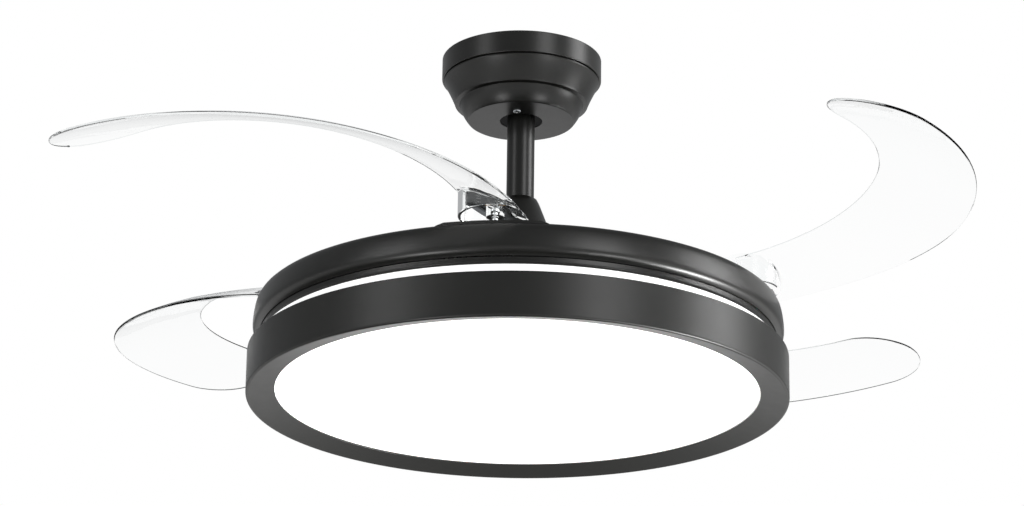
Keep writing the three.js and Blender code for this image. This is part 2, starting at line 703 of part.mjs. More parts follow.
function atPivots(geometryAtPivot) {
  return Array.from({ length: BLADE_COUNT }, (_, i) => (
    geometryAtPivot.clone().rotateZ((2 * Math.PI * i) / BLADE_COUNT)
  ));
}

const bushR = PIN_R + SEAT_GAP + BUSH_WALL;
const stopPostX = SPRING_COIL_R + SPRING_WIRE / 2 + SEAT_GAP + STOP_POST_R;
const stopPostY = SPRING_LEG * 0.7;
const pegOuterR = Math.hypot(stopPostX, stopPostY) + STOP_POST_R + 1;

// Dished tray: flat top, bulged side that turns in underneath, four raised pads at the pivots
function bladeDrum() {
  const bulgeZ = drumTopZ - DRUM_BAND_HEIGHT * DRUM_BULGE_SHARE;
  const guideR = ringInnerR - RUN_GAP;
  const guideBottomZ = gearBottomZ - 1;
  const side = [
    [drumTopR - 3, drumTopZ], [drumTopR, drumTopZ - 0.8], [drumTopR + 2.4, drumTopZ - 4.5],
    [DRUM_R - 0.5, bulgeZ + 6.5], [DRUM_R, bulgeZ], [DRUM_R - 0.6, bulgeZ - 2.6],
    [DRUM_R - 2.6, bulgeZ - 5.6], [DRUM_R - 5, drumBottomZ + 1], [drumLipR + 0.6, drumBottomZ],
  ];
  const inside = [side[2], side[4], side[6], side[8]].map(([r, z]) => [r - DRUM_SHEET, z]);
  const profile = [
    [DRUM_HOLE_R, drumTopZ], ...side, ...inside.reverse(), [drumTopR - 2, drumCeilingZ],
    [guideR, drumCeilingZ], [guideR, guideBottomZ],
    [guideR - RING_GUIDE_WALL, guideBottomZ], [guideR - RING_GUIDE_WALL, drumCeilingZ],
    [DRUM_HOLE_R, drumCeilingZ],
  ];
  const padProfile = [
    [0, drumTopZ - 1], [PAD_R + PAD_RAMP, drumTopZ - 1], [PAD_R + PAD_RAMP, drumTopZ],
    [PAD_R, padTopZ], [0, padTopZ],
  ];
  const padPoints = padProfile.map(([r, z]) => new THREE.Vector2(r, z));
  const pad = new THREE.LatheGeometry(padPoints, SMALL_SEGMENTS).rotateX(Math.PI / 2).translate(pivotRadius, 0, 0);
  const rim = solid(rod(drumTopR - 0.6, drumTopZ - 2, padTopZ + 1, RIM_SEGMENTS).rotateZ(Math.PI / 2));
  const pads = atPivots(pad).map((geometry) => solid(geometry).intersect(rim));
  const body = pads.reduce((all, next) => all.add(next), solid(revolve(profile, RIM_SEGMENTS)));
  const hole = rod(bushR + SEAT_GAP, drumCeilingZ - 1, padTopZ + 1, PIN_SEGMENTS)
    .translate(pivotRadius, 0, 0);
  return shape(atPivots(hole).reduce((left, tool) => left.subtract(solid(tool)), body));
}

// Bottom cover: shallow pan with the drum's lip, and a rib that the ring gear runs on
function drumCover() {
  const lipIn = drumLipR - DRUM_SHEET;
  const ribOut = ringPitchR - 1.25 * gearModule - 0.6;
  const ribIn = ribOut - RING_GUIDE_WALL;
  const ribTopZ = gearBottomZ - SEAT_GAP;
  const profile = [
    [COVER_HOLE_R, lipBottomZ], [drumLipR - 1.6, lipBottomZ], [drumLipR, lipBottomZ + 1.6],
    [drumLipR, lipTopZ], [lipIn, lipTopZ], [lipIn, coverFloorZ + 2], [lipIn - 2, coverFloorZ],
    [ribOut, coverFloorZ], [ribOut, ribTopZ], [ribIn, ribTopZ], [ribIn, coverFloorZ],
    [COVER_HOLE_R, coverFloorZ],
  ];
  const post = rod(STOP_POST_R, coverFloorZ - 1, springBottomZ() + SPRING_WIRE, 8)
    .translate(pivotRadius + stopPostX, -stopPostY, 0);
  return shape(join([revolve(profile, RIM_SEGMENTS), ...atPivots(post)]));
}

// Flanged bronze bush, set in the drum from above
function pivotBush() {
  const bore = PIN_R + SEAT_GAP;
  const flangeBottomZ = padTopZ + SEAT_GAP;
  const bottomZ = drumCeilingZ - 1.5;
  return revolve([
    [bore, bottomZ], [bushR, bottomZ], [bushR, flangeBottomZ], [bushR + 3.4, flangeBottomZ],
    [bushR + 3.4, bushFlangeTopZ], [bore, bushFlangeTopZ],
  ], PIN_SEGMENTS).translate(pivotRadius, 0, 0);
}

// ---------------------------------------------------------------------------
// Gears that keep the blades in step
// ---------------------------------------------------------------------------

function involute(angle) {
  return Math.tan(angle) - angle;
}

// Right and left flank of one involute tooth centred on the X axis, from root to tip to root
function toothPoints(teeth, centreDeg) {
  const pitchR = (gearModule * teeth) / 2;
  const baseR = pitchR * Math.cos(rad(PRESSURE_DEG));
  const tipR = pitchR + gearModule * 0.94;
  const rootR = pitchR - gearModule * 1.2;
  const halfPitch = (Math.PI * gearModule) / 4 - BACKLASH / 2;
  const atPitch = halfPitch / pitchR + involute(rad(PRESSURE_DEG));
  const radii = [rootR, pitchR - gearModule * 0.1, tipR];
  const flank = radii.map((r) => {
    const pressure = Math.acos(Math.min(1, baseR / Math.max(r, baseR)));
    return [r, atPitch - involute(pressure)];
  });
  const line = [...flank.map(([r, a]) => [r, -a]), ...[...flank].reverse()];
  return line.map(([r, a]) => [
    r * Math.cos(a + rad(centreDeg)),
    r * Math.sin(a + rad(centreDeg)),
  ]);
}

const SECTOR_PITCH_DEG = 360 / SECTOR_TEETH_ROUND;
const RING_PITCH_DEG = 360 / RING_TEETH_ROUND;

// Toothed sector on a blade's pin; at rest a gap of it faces the drum's centre
function sectorGear() {
  const boreR = PIN_R + SEAT_GAP;
  const bossR = boreR + 4.5;
  const outline = [];
  for (let i = 0; i < SECTOR_TEETH; i += 1) {
    outline.push(...toothPoints(SECTOR_TEETH_ROUND, 180 + (i - 0.5) * SECTOR_PITCH_DEG));
  }
  const backDeg = 180 + ((SECTOR_TEETH - 2) / 2) * SECTOR_PITCH_DEG;
  const back = arcPoints(0, 0, pegOuterR, backDeg + 100, backDeg + 260, 5);
  const bore = circlePoints(boreR, PIN_SEGMENTS).reverse();
  const plate = prism([...outline, ...back], gearBottomZ, gearTopZ, [bore]);
  const boss = tube(boreR, bossR, gearTopZ - 0.5, drumCeilingZ - 1.5 - SEAT_GAP, PIN_SEGMENTS);
  const peg = rod(STOP_POST_R, springTopZ() - SPRING_WIRE, gearBottomZ + 0.5, 8)
    .translate(stopPostX, stopPostY, 0);
  return shape(join([plate, boss, peg])).translate(pivotRadius, 0, 0);
}

// Thin ring with four toothed arcs. At rest each arc's last tooth but one points at a pivot,
// and the rest follow it as the ring turns.
function syncRing() {
  const plainR = ringPitchR - gearModule * 1.2;
  const outline = [];
  const arcStep = 360 / BLADE_COUNT;
  const firstTooth = 2 - RING_ARC_TEETH;
  for (let k = 0; k < BLADE_COUNT; k += 1) {
    for (let i = 0; i < RING_ARC_TEETH; i += 1) {
      const centre = k * arcStep + (firstTooth + i) * RING_PITCH_DEG;
      outline.push(...toothPoints(RING_TEETH_ROUND, centre));
    }
    const from = k * arcStep + (firstTooth + RING_ARC_TEETH) * RING_PITCH_DEG;
    const to = (k + 1) * arcStep + (firstTooth - 1) * RING_PITCH_DEG;
    outline.push(...arcPoints(0, 0, plainR, from, to, 5));
  }
  const bore = circlePoints(ringInnerR, RIM_SEGMENTS).reverse();
  return prism(outline, gearBottomZ, gearTopZ, [bore]);
}

// ---------------------------------------------------------------------------
// Return spring
// ---------------------------------------------------------------------------

function springTopZ() {
  return gearBottomZ - SEAT_GAP - SPRING_WIRE;
}

function springBottomZ() {
  return springTopZ() - SPRING_CURLS * SPRING_LEAD;
}

// Centre line: a straight leg, the curls, a straight leg, both legs level and tangent.
// The lower leg bears on the cover's post and the upper one on the gear's peg, so the coil,
// wound up while the blade is out, turns the blade in.
function springLine() {
  const steps = SPRING_STEPS * SPRING_CURLS;
  const points = [new THREE.Vector3(SPRING_COIL_R, -SPRING_LEG, springBottomZ())];
  for (let i = 0; i <= steps; i += 1) {
    const a = (2 * Math.PI * i) / SPRING_STEPS;
    const z = springBottomZ() + (SPRING_LEAD * i) / SPRING_STEPS;
    points.push(new THREE.Vector3(SPRING_COIL_R * Math.cos(a), SPRING_COIL_R * Math.sin(a), z));
  }
  points.push(new THREE.Vector3(SPRING_COIL_R, SPRING_LEG, springTopZ()));
  return points;
}

// Unbroken tube along a centre line, closed at both ends
function wire(line, radius, sides) {
  const positions = [];
  const faces = [];
  line.forEach((point, i) => {
    const before = line[Math.max(i - 1, 0)];
    const after = line[Math.min(i + 1, line.length - 1)];
    const along = after.clone().sub(before).normalize();
    const up = new THREE.Vector3(0, 0, 1);
    const across = new THREE.Vector3().crossVectors(along, up).normalize();
    const normal = new THREE.Vector3().crossVectors(across, along).normalize();
    for (let k = 0; k < sides; k += 1) {
      const a = (2 * Math.PI * k) / sides;
      const p = point.clone()
        .addScaledVector(across, radius * Math.cos(a))
        .addScaledVector(normal, radius * Math.sin(a));
      positions.push(p.x, p.y, p.z);
    }
  });
  for (let i = 0; i + 1 < line.length; i += 1) {
    for (let k = 0; k < sides; k += 1) {
      const a = i * sides + k;
      const b = i * sides + ((k + 1) % sides);
      faces.push(a, a + sides, b, b, a + sides, b + sides);
    }
  }
  const last = (line.length - 1) * sides;
  for (let k = 1; k + 1 < sides; k += 1) {
    faces.push(0, k, k + 1);
    faces.push(last, last + k + 1, last + k);
  }
  const geometry = new THREE.BufferGeometry();
  geometry.setAttribute('position', new THREE.Float32BufferAttribute(positions, 3));
  geometry.setIndex(faces);
  geometry.computeVertexNormals();
  return geometry;
}

// Least distance between two turns of the spring's centre line, less one wire
function leastSelfGap(line, skip) {
  let least = Infinity;
  for (let i = 0; i < line.length; i += 1) {
    for (let j = i + skip; j < line.length; j += 1) {
      least = Math.min(least, line[i].distanceTo(line[j]));
    }
  }
  return least - SPRING_WIRE;
}

function returnSpring() {
  const line = springLine();
  const gap = leastSelfGap(line, SPRING_STEPS - 1);
  if (returnSpring.told !== true) {
    console.log(`return spring: least gap to itself ${gap.toFixed(2)} mm`);
    returnSpring.told = true;
  }
  return wire(line, SPRING_WIRE / 2, 4).translate(pivotRadius, 0, 0);
}

// ---------------------------------------------------------------------------
// Blades
// ---------------------------------------------------------------------------

// Smooth value between stations given as [place, value]
function along(stations, t) {
  const next = Math.max(1, stations.findIndex(([at]) => at >= t));
  const [t0, v0] = stations[next - 1];
  const [t1, v1] = stations[next];
  return v0 + (v1 - v0) * THREE.MathUtils.smoothstep(t, t0, t1);
}

// Middle line of a blade at t from 0 at the pivot to 1 at the tip: place, heading, pitch, widths
function bladeStation(t) {
  const turn = (BLADE_LENGTH * t) / BLADE_ARC_R;
  const start = rad(BLADE_HEADING_DEG);
  const heading = start - turn;
  const centreX = BLADE_ARC_R * Math.sin(start);
  const centreY = -BLADE_ARC_R * Math.cos(start);
  const pastStart = Math.max(0, t - BLADE_TIP_START) / (1 - BLADE_TIP_START);
  const round = Math.sqrt(1 - pastStart ** 2);
  const outerHalves = [[0, bladeRootHalf], [0.5, BLADE_OUTER_HALF], [1, BLADE_OUTER_TIP_HALF]];
  const innerHalves = [[0, bladeRootHalf], [0.5, BLADE_INNER_HALF], [1, BLADE_INNER_TIP_HALF]];
  return {
    x: centreX - BLADE_ARC_R * Math.sin(heading),
    y: centreY + BLADE_ARC_R * Math.cos(heading),
    z: BLADE_RISE * (2 * t - t * t),
    heading,
    pitch: rad(BLADE_PITCH_ROOT_DEG + (BLADE_PITCH_TIP_DEG - BLADE_PITCH_ROOT_DEG) * t),
    outer: round * along(outerHalves, t),
    inner: round * along(innerHalves, t),
  };
}

// One cross-section: cambered, thick in the middle and thin at both edges.
// The outer, leading edge is the low one.
function bladeSection(t) {
  const s = bladeStation(t);
  const places = [-1, -0.45, 0.45, 1];
  const towardInner = [Math.sin(s.heading), -Math.cos(s.heading)];
  const point = (share, side) => {
    const half = share < 0 ? s.outer : s.inner;
    const across = share * half;
    const bow = BLADE_CAMBER * (1 - share * share) * Math.min(1, t * 4) * (half / BLADE_OUTER_HALF);
    const thick = BLADE_EDGE + (BLADE_THICKNESS - BLADE_EDGE) * (1 - share * share);
    const level = bow + (side * thick) / 2;
    const flat = across * Math.cos(s.pitch) - level * Math.sin(s.pitch);
    const up = across * Math.sin(s.pitch) + level * Math.cos(s.pitch);
    return [s.x + towardInner[0] * flat, s.y + towardInner[1] * flat, s.z + up];
  };
  return [...places.map((p) => point(p, 1)), ...[...places].reverse().map((p) => point(p, -1))];
}

// Closed skin over a row of closed sections
function loft(sections) {
  const count = sections[0].length;
  const faces = [];
  for (let i = 0; i + 1 < sections.length; i += 1) {
    for (let k = 0; k < count; k += 1) {
      const a = i * count + k;
      const b = i * count + ((k + 1) % count);
      faces.push(a, b, a + count, b, b + count, a + count);
    }
  }
  const half = count / 2;
  for (const [base, flip] of [[0, false], [(sections.length - 1) * count, true]]) {
    for (let k = 0; k + 1 < half; k += 1) {
      const quad = [base + k, base + k + 1, base + count - 2 - k, base + count - 1 - k];
      const [a, b, c, d] = flip ? quad : [...quad].reverse();
      faces.push(a, b, c, a, c, d);
    }
  }
  const geometry = new THREE.BufferGeometry();
  geometry.setAttribute('position', new THREE.Float32BufferAttribute(sections.flat(2), 3));
  geometry.setIndex(faces);
  geometry.computeVertexNormals();
  return geometry;
}

const BLADE_STATIONS = [0, 0.07, 0.17, 0.29, 0.42, 0.55, 0.68, 0.79, 0.87, 0.92, 0.955, 0.98, 0.996];

// Slab whose top face is the blade's own plane at the pivot, lowered by drop
function belowRootPlane(drop) {
  const s = bladeStation(0);
  const size = 4 * HUB_R;
  const slope = (2 * BLADE_RISE) / BLADE_LENGTH;
  return new THREE.BoxGeometry(size, size, size)
    .translate(0, 0, -size / 2 - drop)
    .rotateX(-s.pitch)
    .rotateY(-Math.atan(slope))
    .rotateZ(s.heading);
}

// Hub: an open cup under the blade's root, with a boss for the pin and ribs to it
function bladeHub() {
  const low = -HUB_LOW_EDGE;
  const high = HUB_R;
  const cup = solid(rod(HUB_R, low, high, 18)).intersect(solid(belowRootPlane(-BLADE_THICKNESS / 2)));
  const hollow = solid(tube(HUB_BOSS_R - 0.5, HUB_R - HUB_WALL, low - 20, high, 18))
    .intersect(solid(belowRootPlane(BLADE_THICKNESS / 2)));
  const below = solid(belowRootPlane(0));
  const rib = block(-HUB_R + 1, HUB_R - 1, -1, 1, low + 3, high).rotateZ(rad(BLADE_HEADING_DEG));
  const boss = rod(HUB_BOSS_R, low, HUB_BOSS_RISE, PIN_SEGMENTS);
  return cup.subtract(hollow).add(solid(rib).intersect(below)).add(solid(boss));
}

// Stepped bore for the pin and its head, moulded in from below
function pinBore() {
  const headBottomZ = -PIN_HEAD - 2 * SEAT_GAP;
  const shank = rod(PIN_R + SEAT_GAP, -HUB_LOW_EDGE - 20, headBottomZ + 0.1, PIN_SEGMENTS);
  const head = rod(PIN_HEAD_R + SEAT_GAP, headBottomZ, 0, PIN_SEGMENTS);
  return join([shank, head]);
}

function blade() {
  const leaf = solid(loft(BLADE_STATIONS.map(bladeSection)));
  return shape(leaf.add(bladeHub()).subtract(pinBore())).translate(pivotRadius, 0, bladeRootZ);
}

// Steel pin: a head held in the hub, a collar that runs on the bush's flange, a foot for the gear
function pivotPin() {
  const headBottomZ = pinTopZ - SEAT_GAP - PIN_HEAD;
  const collarBottomZ = bushFlangeTopZ + SEAT_GAP;
  const footTopZ = pinBottomZ + 2;
  const profile = [
    [0, pinBottomZ], [PIN_COLLAR_R, pinBottomZ], [PIN_COLLAR_R, footTopZ], [PIN_R, footTopZ],
    [PIN_R, collarBottomZ], [PIN_COLLAR_R, collarBottomZ], [PIN_COLLAR_R, collarBottomZ + 2],
    [PIN_R, collarBottomZ + 2], [PIN_R, headBottomZ], [PIN_HEAD_R, headBottomZ],
    [PIN_HEAD_R, pinTopZ - SEAT_GAP], [0, pinTopZ - SEAT_GAP],
  ];
  const points = profile.map(([r, z]) => new THREE.Vector2(r, z));
  return new THREE.LatheGeometry(points, PIN_SEGMENTS).rotateX(Math.PI / 2).translate(pivotRadius, 0, 0);
}

// ---------------------------------------------------------------------------
// Drum lamp
// ---------------------------------------------------------------------------

// White spun pan that hangs on the shaft; its top edge shows in the gap under the drum
function lampBase() {
  const rimBottomZ = baseTopZ - BASE_RIM;
  const hole = CARRIER_BOSS_R + SEAT_GAP;
  return revolve([
    [hole, baseCeilingZ], [baseR - BASE_SHEET - 1.5, baseCeilingZ], [baseR - BASE_SHEET, baseCeilingZ - 1.5],
    [baseR - BASE_SHEET, rimBottomZ], [baseR, rimBottomZ], [baseR, baseTopZ - 1],
    [baseR - 1, baseTopZ], [hole, baseTopZ],
  ], RIM_SEGMENTS);
}

// Black hoop: rolled wall, an inner ledge that grips the base, and a bezel that slopes up inside
function lampHoop() {
  const wallIn = LAMP_R - HOOP_WALL;
  const ledgeTopZ = hoopTopZ - LEDGE_DROP;
  const ledgeR = baseR + SEAT_GAP;
  return revolve([
    [LAMP_R - HOOP_BEVEL, hoopTopZ], [LAMP_R, hoopTopZ - 2.4], [LAMP_R, hoopBottomZ + 2.4],
    [LAMP_R - 3, hoopBottomZ], [bezelR, bezelInnerZ - BEZEL_EDGE], [bezelR, bezelInnerZ],
    [wallIn, hoopBottomZ + HOOP_WALL],
    [wallIn, ledgeTopZ - LEDGE], [ledgeR, ledgeTopZ - LEDGE], [ledgeR, ledgeTopZ],
    [wallIn, ledgeTopZ], [wallIn, hoopTopZ],
  ], RIM_SEGMENTS);
}

// Opal diffuser: flat face with an upstanding rim that twists into the base
function diffuser() {
  const rimR = baseR - BASE_SHEET - SEAT_GAP;
  const faceTopZ = diffuserFaceZ + DIFFUSER_WALL;
  const rimTopZ = diffuserFaceZ + DIFFUSER_RIM;
  return revolve([
    [0, diffuserFaceZ], [rimR - 1.4, diffuserFaceZ], [rimR, diffuserFaceZ + 1.4], [rimR, rimTopZ],
    [rimR - DIFFUSER_WALL, rimTopZ], [rimR - DIFFUSER_WALL, faceTopZ], [0, faceTopZ],
  ], RIM_SEGMENTS);
}

function ledBoard() {
  const topZ = baseCeilingZ - SEAT_GAP;
  return tube(BOARD_HOLE_R, boardR, topZ - BOARD_SHEET, topZ, MOTOR_SEGMENTS);
}

function ledDriver() {
  const topZ = baseCeilingZ - SEAT_GAP;
  return roundedBox(DRIVER.length, DRIVER.width, DRIVER.height, 3)
    .translate(0, DRIVER.offset + DRIVER.width / 2, topZ - DRIVER.height);
}

// Flanged carrier on the shaft's foot; the lamp's base rests on its flange
function lampCarrier() {
  const bore = SHAFT_R + SEAT_GAP;
  return revolve([
    [bore, carrierBottomZ], [CARRIER_R, carrierBottomZ], [CARRIER_R, carrierTopZ],
    [CARRIER_BOSS_R, carrierTopZ], [CARRIER_BOSS_R, carrierTopZ + CARRIER_GRIP - 1],
    [CARRIER_BOSS_R - 1, carrierTopZ + CARRIER_GRIP], [bore, carrierTopZ + CARRIER_GRIP],
  ], MOTOR_SEGMENTS);
}

function shaftNut() {
  const corner = NUT_FLAT_R / Math.cos(Math.PI / 6);
  const bore = circlePoints(SHAFT_R + SEAT_GAP, SMALL_SEGMENTS).reverse();
  return prism(circlePoints(corner, 6), nutTopZ - NUT_HEIGHT, nutTopZ, [bore]);
}

// ---------------------------------------------------------------------------
// Assembly
// ---------------------------------------------------------------------------

const fan = new THREE.Group();

fan.add(
  part('hanger_bracket', hangerBracket(), ZINC),
  part('canopy_bowl', canopyBowl(), BLACK_PAINT),
  part('canopy_band', canopyBand(), BLACK_PAINT),
  part('canopy_screw_right', canopyScrew(1), ZINC),
  part('canopy_screw_left', canopyScrew(-1), ZINC),
  part('receiver_box', receiverBox(), BLACK_PLASTIC),
  part('terminal_block', terminalBlock(), WHITE_PLASTIC),
);

const hanging = new THREE.Group();
hanging.add(
  part('hanger_ball', hangerBall(), BLACK_PLASTIC),
  part('cross_pin', crossPin(), STEEL),
  part('downrod', downrod(), BLACK_PAINT),
  part('rod_collar', rodCollar(), CAST_ALUMINIUM),
  part('clevis_pin', clevisPin(), STEEL),
  part('collar_cover', collarCover(), BLACK_PAINT),
  part('motor_shaft', motorShaft(), STEEL),
  part('stator', stator(), WINDING),
  part('lamp_carrier', lampCarrier(), ZINC),
  part('shaft_nut', shaftNut(), ZINC),
  part('lamp_base', lampBase(), WHITE_PAINT),
  part('lamp_hoop', lampHoop(), BLACK_PAINT),
  part('diffuser', diffuser(), OPAL),
  part('led_board', ledBoard(), WHITE_PLASTIC),
  part('led_driver', ledDriver(), WHITE_PLASTIC),
);
fan.add(hanging);

const turning = new THREE.Group();
turning.rotation.z = rad(FIRST_PIVOT_DEG);
turning.add(
  part('motor_shell_upper', motorShellUpper(), CAST_ALUMINIUM),
  part('motor_shell_lower', motorShellLower(), CAST_ALUMINIUM),
  part('magnet_ring', magnetRing(), FERRITE),
  part('upper_bearing', bearing(upperBearingTopZ), STEEL),
  part('lower_bearing', bearing(lowerBearingBottomZ + BEARING_WIDTH), STEEL),
  part('blade_drum', bladeDrum(), BLACK_PAINT),
  part('drum_cover', drumCover(), BLACK_PAINT),
  part('sync_ring', syncRing(), NYLON),
);
for (let i = 1; i <= BLADE_COUNT; i += 1) {
  const station = new THREE.Group();
  station.rotation.z = (2 * Math.PI * (i - 1)) / BLADE_COUNT;
  station.add(
    part(`blade_${i}`, blade(), CLEAR),
    part(`pivot_pin_${i}`, pivotPin(), STEEL),
    part(`sector_gear_${i}`, sectorGear(), NYLON),
    part(`pivot_bush_${i}`, pivotBush(), BRONZE),
    part(`return_spring_${i}`, returnSpring(), STEEL),
  );
  turning.add(station);
}
fan.add(turning);

export default fan;
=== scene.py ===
"""Ceiling fan with four clear folding blades over a drum lamp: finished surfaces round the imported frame.
Lengths are written in millimetres and turned to metres by MM."""

import math

import bmesh
import bpy
from mathutils import Matrix, Vector


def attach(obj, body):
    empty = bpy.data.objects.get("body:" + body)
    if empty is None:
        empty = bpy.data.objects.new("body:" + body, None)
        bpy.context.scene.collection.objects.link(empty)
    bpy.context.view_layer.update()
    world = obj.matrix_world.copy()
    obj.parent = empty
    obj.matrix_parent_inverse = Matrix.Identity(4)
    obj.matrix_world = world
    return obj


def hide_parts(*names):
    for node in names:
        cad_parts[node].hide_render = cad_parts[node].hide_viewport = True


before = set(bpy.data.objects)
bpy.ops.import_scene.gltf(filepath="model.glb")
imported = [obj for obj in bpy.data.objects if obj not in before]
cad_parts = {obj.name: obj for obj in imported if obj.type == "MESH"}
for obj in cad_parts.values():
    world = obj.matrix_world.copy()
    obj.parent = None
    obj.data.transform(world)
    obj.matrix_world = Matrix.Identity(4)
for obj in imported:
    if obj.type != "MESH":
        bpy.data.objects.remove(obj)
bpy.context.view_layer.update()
MM = 0.001

# ---------------------------------------------------------------------------
# Sizes, in millimetres and degrees
# ---------------------------------------------------------------------------

# Canopy, rod and bell
ROD_R, ROD_TOP, ROD_BOTTOM, ROD_WALL = 13.0, -13.5, -173.5, 1.8
BAND_R, BAND_TOP, BAND_BOTTOM, BAND_WALL, BAND_RIM = 75.5, -0.3, -21.5, 2.0, 1.4
BOWL_NECK_R, BOWL_SHEET, BOWL_FLOOR, BOWL_HOLE_R = 72.3, 1.4, -62.0, 20.0
BOWL_FLOOR_R, BOWL_FLOOR_INNER_R = 50.0, 48.8
BAND_GAP = 0.3
BELL_FOOT = -197.0

# Motor, the seats of its bearings, drum and the drum's cover
MOTOR_TOP, MOTOR_MID, MOTOR_BOTTOM, MOTOR_R, MOTOR_FLANGE_R = -200.7, -226.2, -251.7, 77.0, 92.0
MOTOR_SHEET, MOTOR_BORE_R, MOTOR_HALF_GAP = 3, 10.5, 0.15
SEAT_OUTER_R, SEAT_INNER_R, SEAT_DEPTH = 20.8, 17.8, 13.3
DRUM_TOP, DRUM_BOTTOM, DRUM_SHEET, DRUM_BORE_R = -252.0, -282.3, 1.2, 30.0
GUIDE_OUT, GUIDE_IN, GUIDE_BOTTOM = 162.6, 160.2, -265.2
PAD_R, PAD_FOOT_R, PAD_TOP, PAD_CLIP_R, PAD_HOLE_R = 50.0, 55.0, -249.7, 240.4, 6.1
LIP_R, LIP_TOP, LIP_BOTTOM = 238.9, -282.6, -288.6
COVER_BORE_R, COVER_RING_OUT, COVER_RING_IN, COVER_RING_TOP = 24.0, 168.8, 166.4, -264.5

# Lamp
HOOP_R, HOOP_TOP, HOOP_BOTTOM, HOOP_WALL = 250.0, -299.5, -341.4, 1.6
BEZEL_R, BEZEL_INNER, BEZEL_EDGE = 223.5, -333.4, 1.2
LEDGE_TOP, LEDGE, LEDGE_R = -307.5, 2.0, 239.8
BASE_R, BASE_TOP, BASE_BOTTOM, BASE_SHEET, BASE_BORE_R = 239.5, -289.5, -312.1, 1.0, 15.3
OPAL_R, OPAL_FACE, OPAL_TOP, OPAL_WALL = 238.2, -333.1, -309.1, 2.2

# Blades, their hubs, pins and bushes. EDGE_ROUND is how far in from an edge the wall is full, and
# EDGE_STEP the share of that where the leaf gets its first row of points.
PIVOT_R, FIRST_PIVOT_DEG, BLADE_COUNT = 210.0, -5.8, 4
ROOT_Z = -228.2
BLADE_LENGTH, BLADE_ARC_R, BLADE_HEADING_DEG = 459.0, 211.5, -13.7
BLADE_RISE, ROOT_PITCH_DEG, TIP_PITCH_DEG = 33.0, 24.5, 14.5
BLADE_THICK, BLADE_WALL, BLADE_EDGE, BLADE_CAMBER = 3.0, 2.3, 1.2, 3.0
EDGE_ROUND, EDGE_STEP, EDGE_HALF_LEAST = 1.4, 0.4, 3.0
ROOT_HALF, OUTER_HALF, OUTER_TIP_HALF, INNER_HALF, INNER_TIP_HALF = 33.6, 51.6, 44.3, 37.2, 40.4
HUB_R, HUB_WALL, HUB_BOSS_R, HUB_BOSS_TOP, HUB_LOW = 33.0, 2.6, 8.0, 2.2, 8.0
BORE_R, HEAD_ROOM_R, HEAD_ROOM_LOW = 3.2, 5.0, -3.6
PIN_R, PIN_COLLAR_R, PIN_HEAD_R = 2.9, 5.4, 4.7
BUSH_BORE_R, BUSH_R, BUSH_FLANGE_R = 3.2, 5.8, 9.2

# Places along a leaf, as shares of its length: where the tip starts to round off, where it stops, and where
# the painted dark line of the leading edge starts
TIP_START, TIP_STOP, PAINTED_DARK_EDGE_START = 0.878, 0.9995, 0.3
LEAF_ACROSS, LEAF_BODY_STEPS, LEAF_TIP_STEPS = 17, 56, 24

# Straight pieces that go round a full turn, for the largest pieces, the middle ones and the pins
LARGE_TURN, MIDDLE_TURN, PIN_TURN = 256, 96, 48

# ---------------------------------------------------------------------------
# Finishes
# ---------------------------------------------------------------------------


def linear(hex_colour):
    """sRGB hex to linear RGBA."""
    out = []
    for i in (0, 2, 4):
        c = int(hex_colour[i:i + 2], 16) / 255
        out.append(c / 12.92 if c <= 0.04045 else ((c + 0.055) / 1.055) ** 2.4)
    return (*out, 1.0)


def add(tree, kind, settings=None, **links):
    """Adds a node. settings set properties or sockets; links join sockets, by name or number."""
    made = tree.nodes.new(kind)
    for key, value in (settings or {}).items():
        if isinstance(key, int) or key in made.inputs:
            made.inputs[key].default_value = value
        else:
            setattr(made, key, value)
    for key, source in links.items():
        name = int(key[1:]) if key[0] == "_" and key[1:].isdigit() else key.replace("_", " ")
        tree.links.new(source, made.inputs[name])
    return made


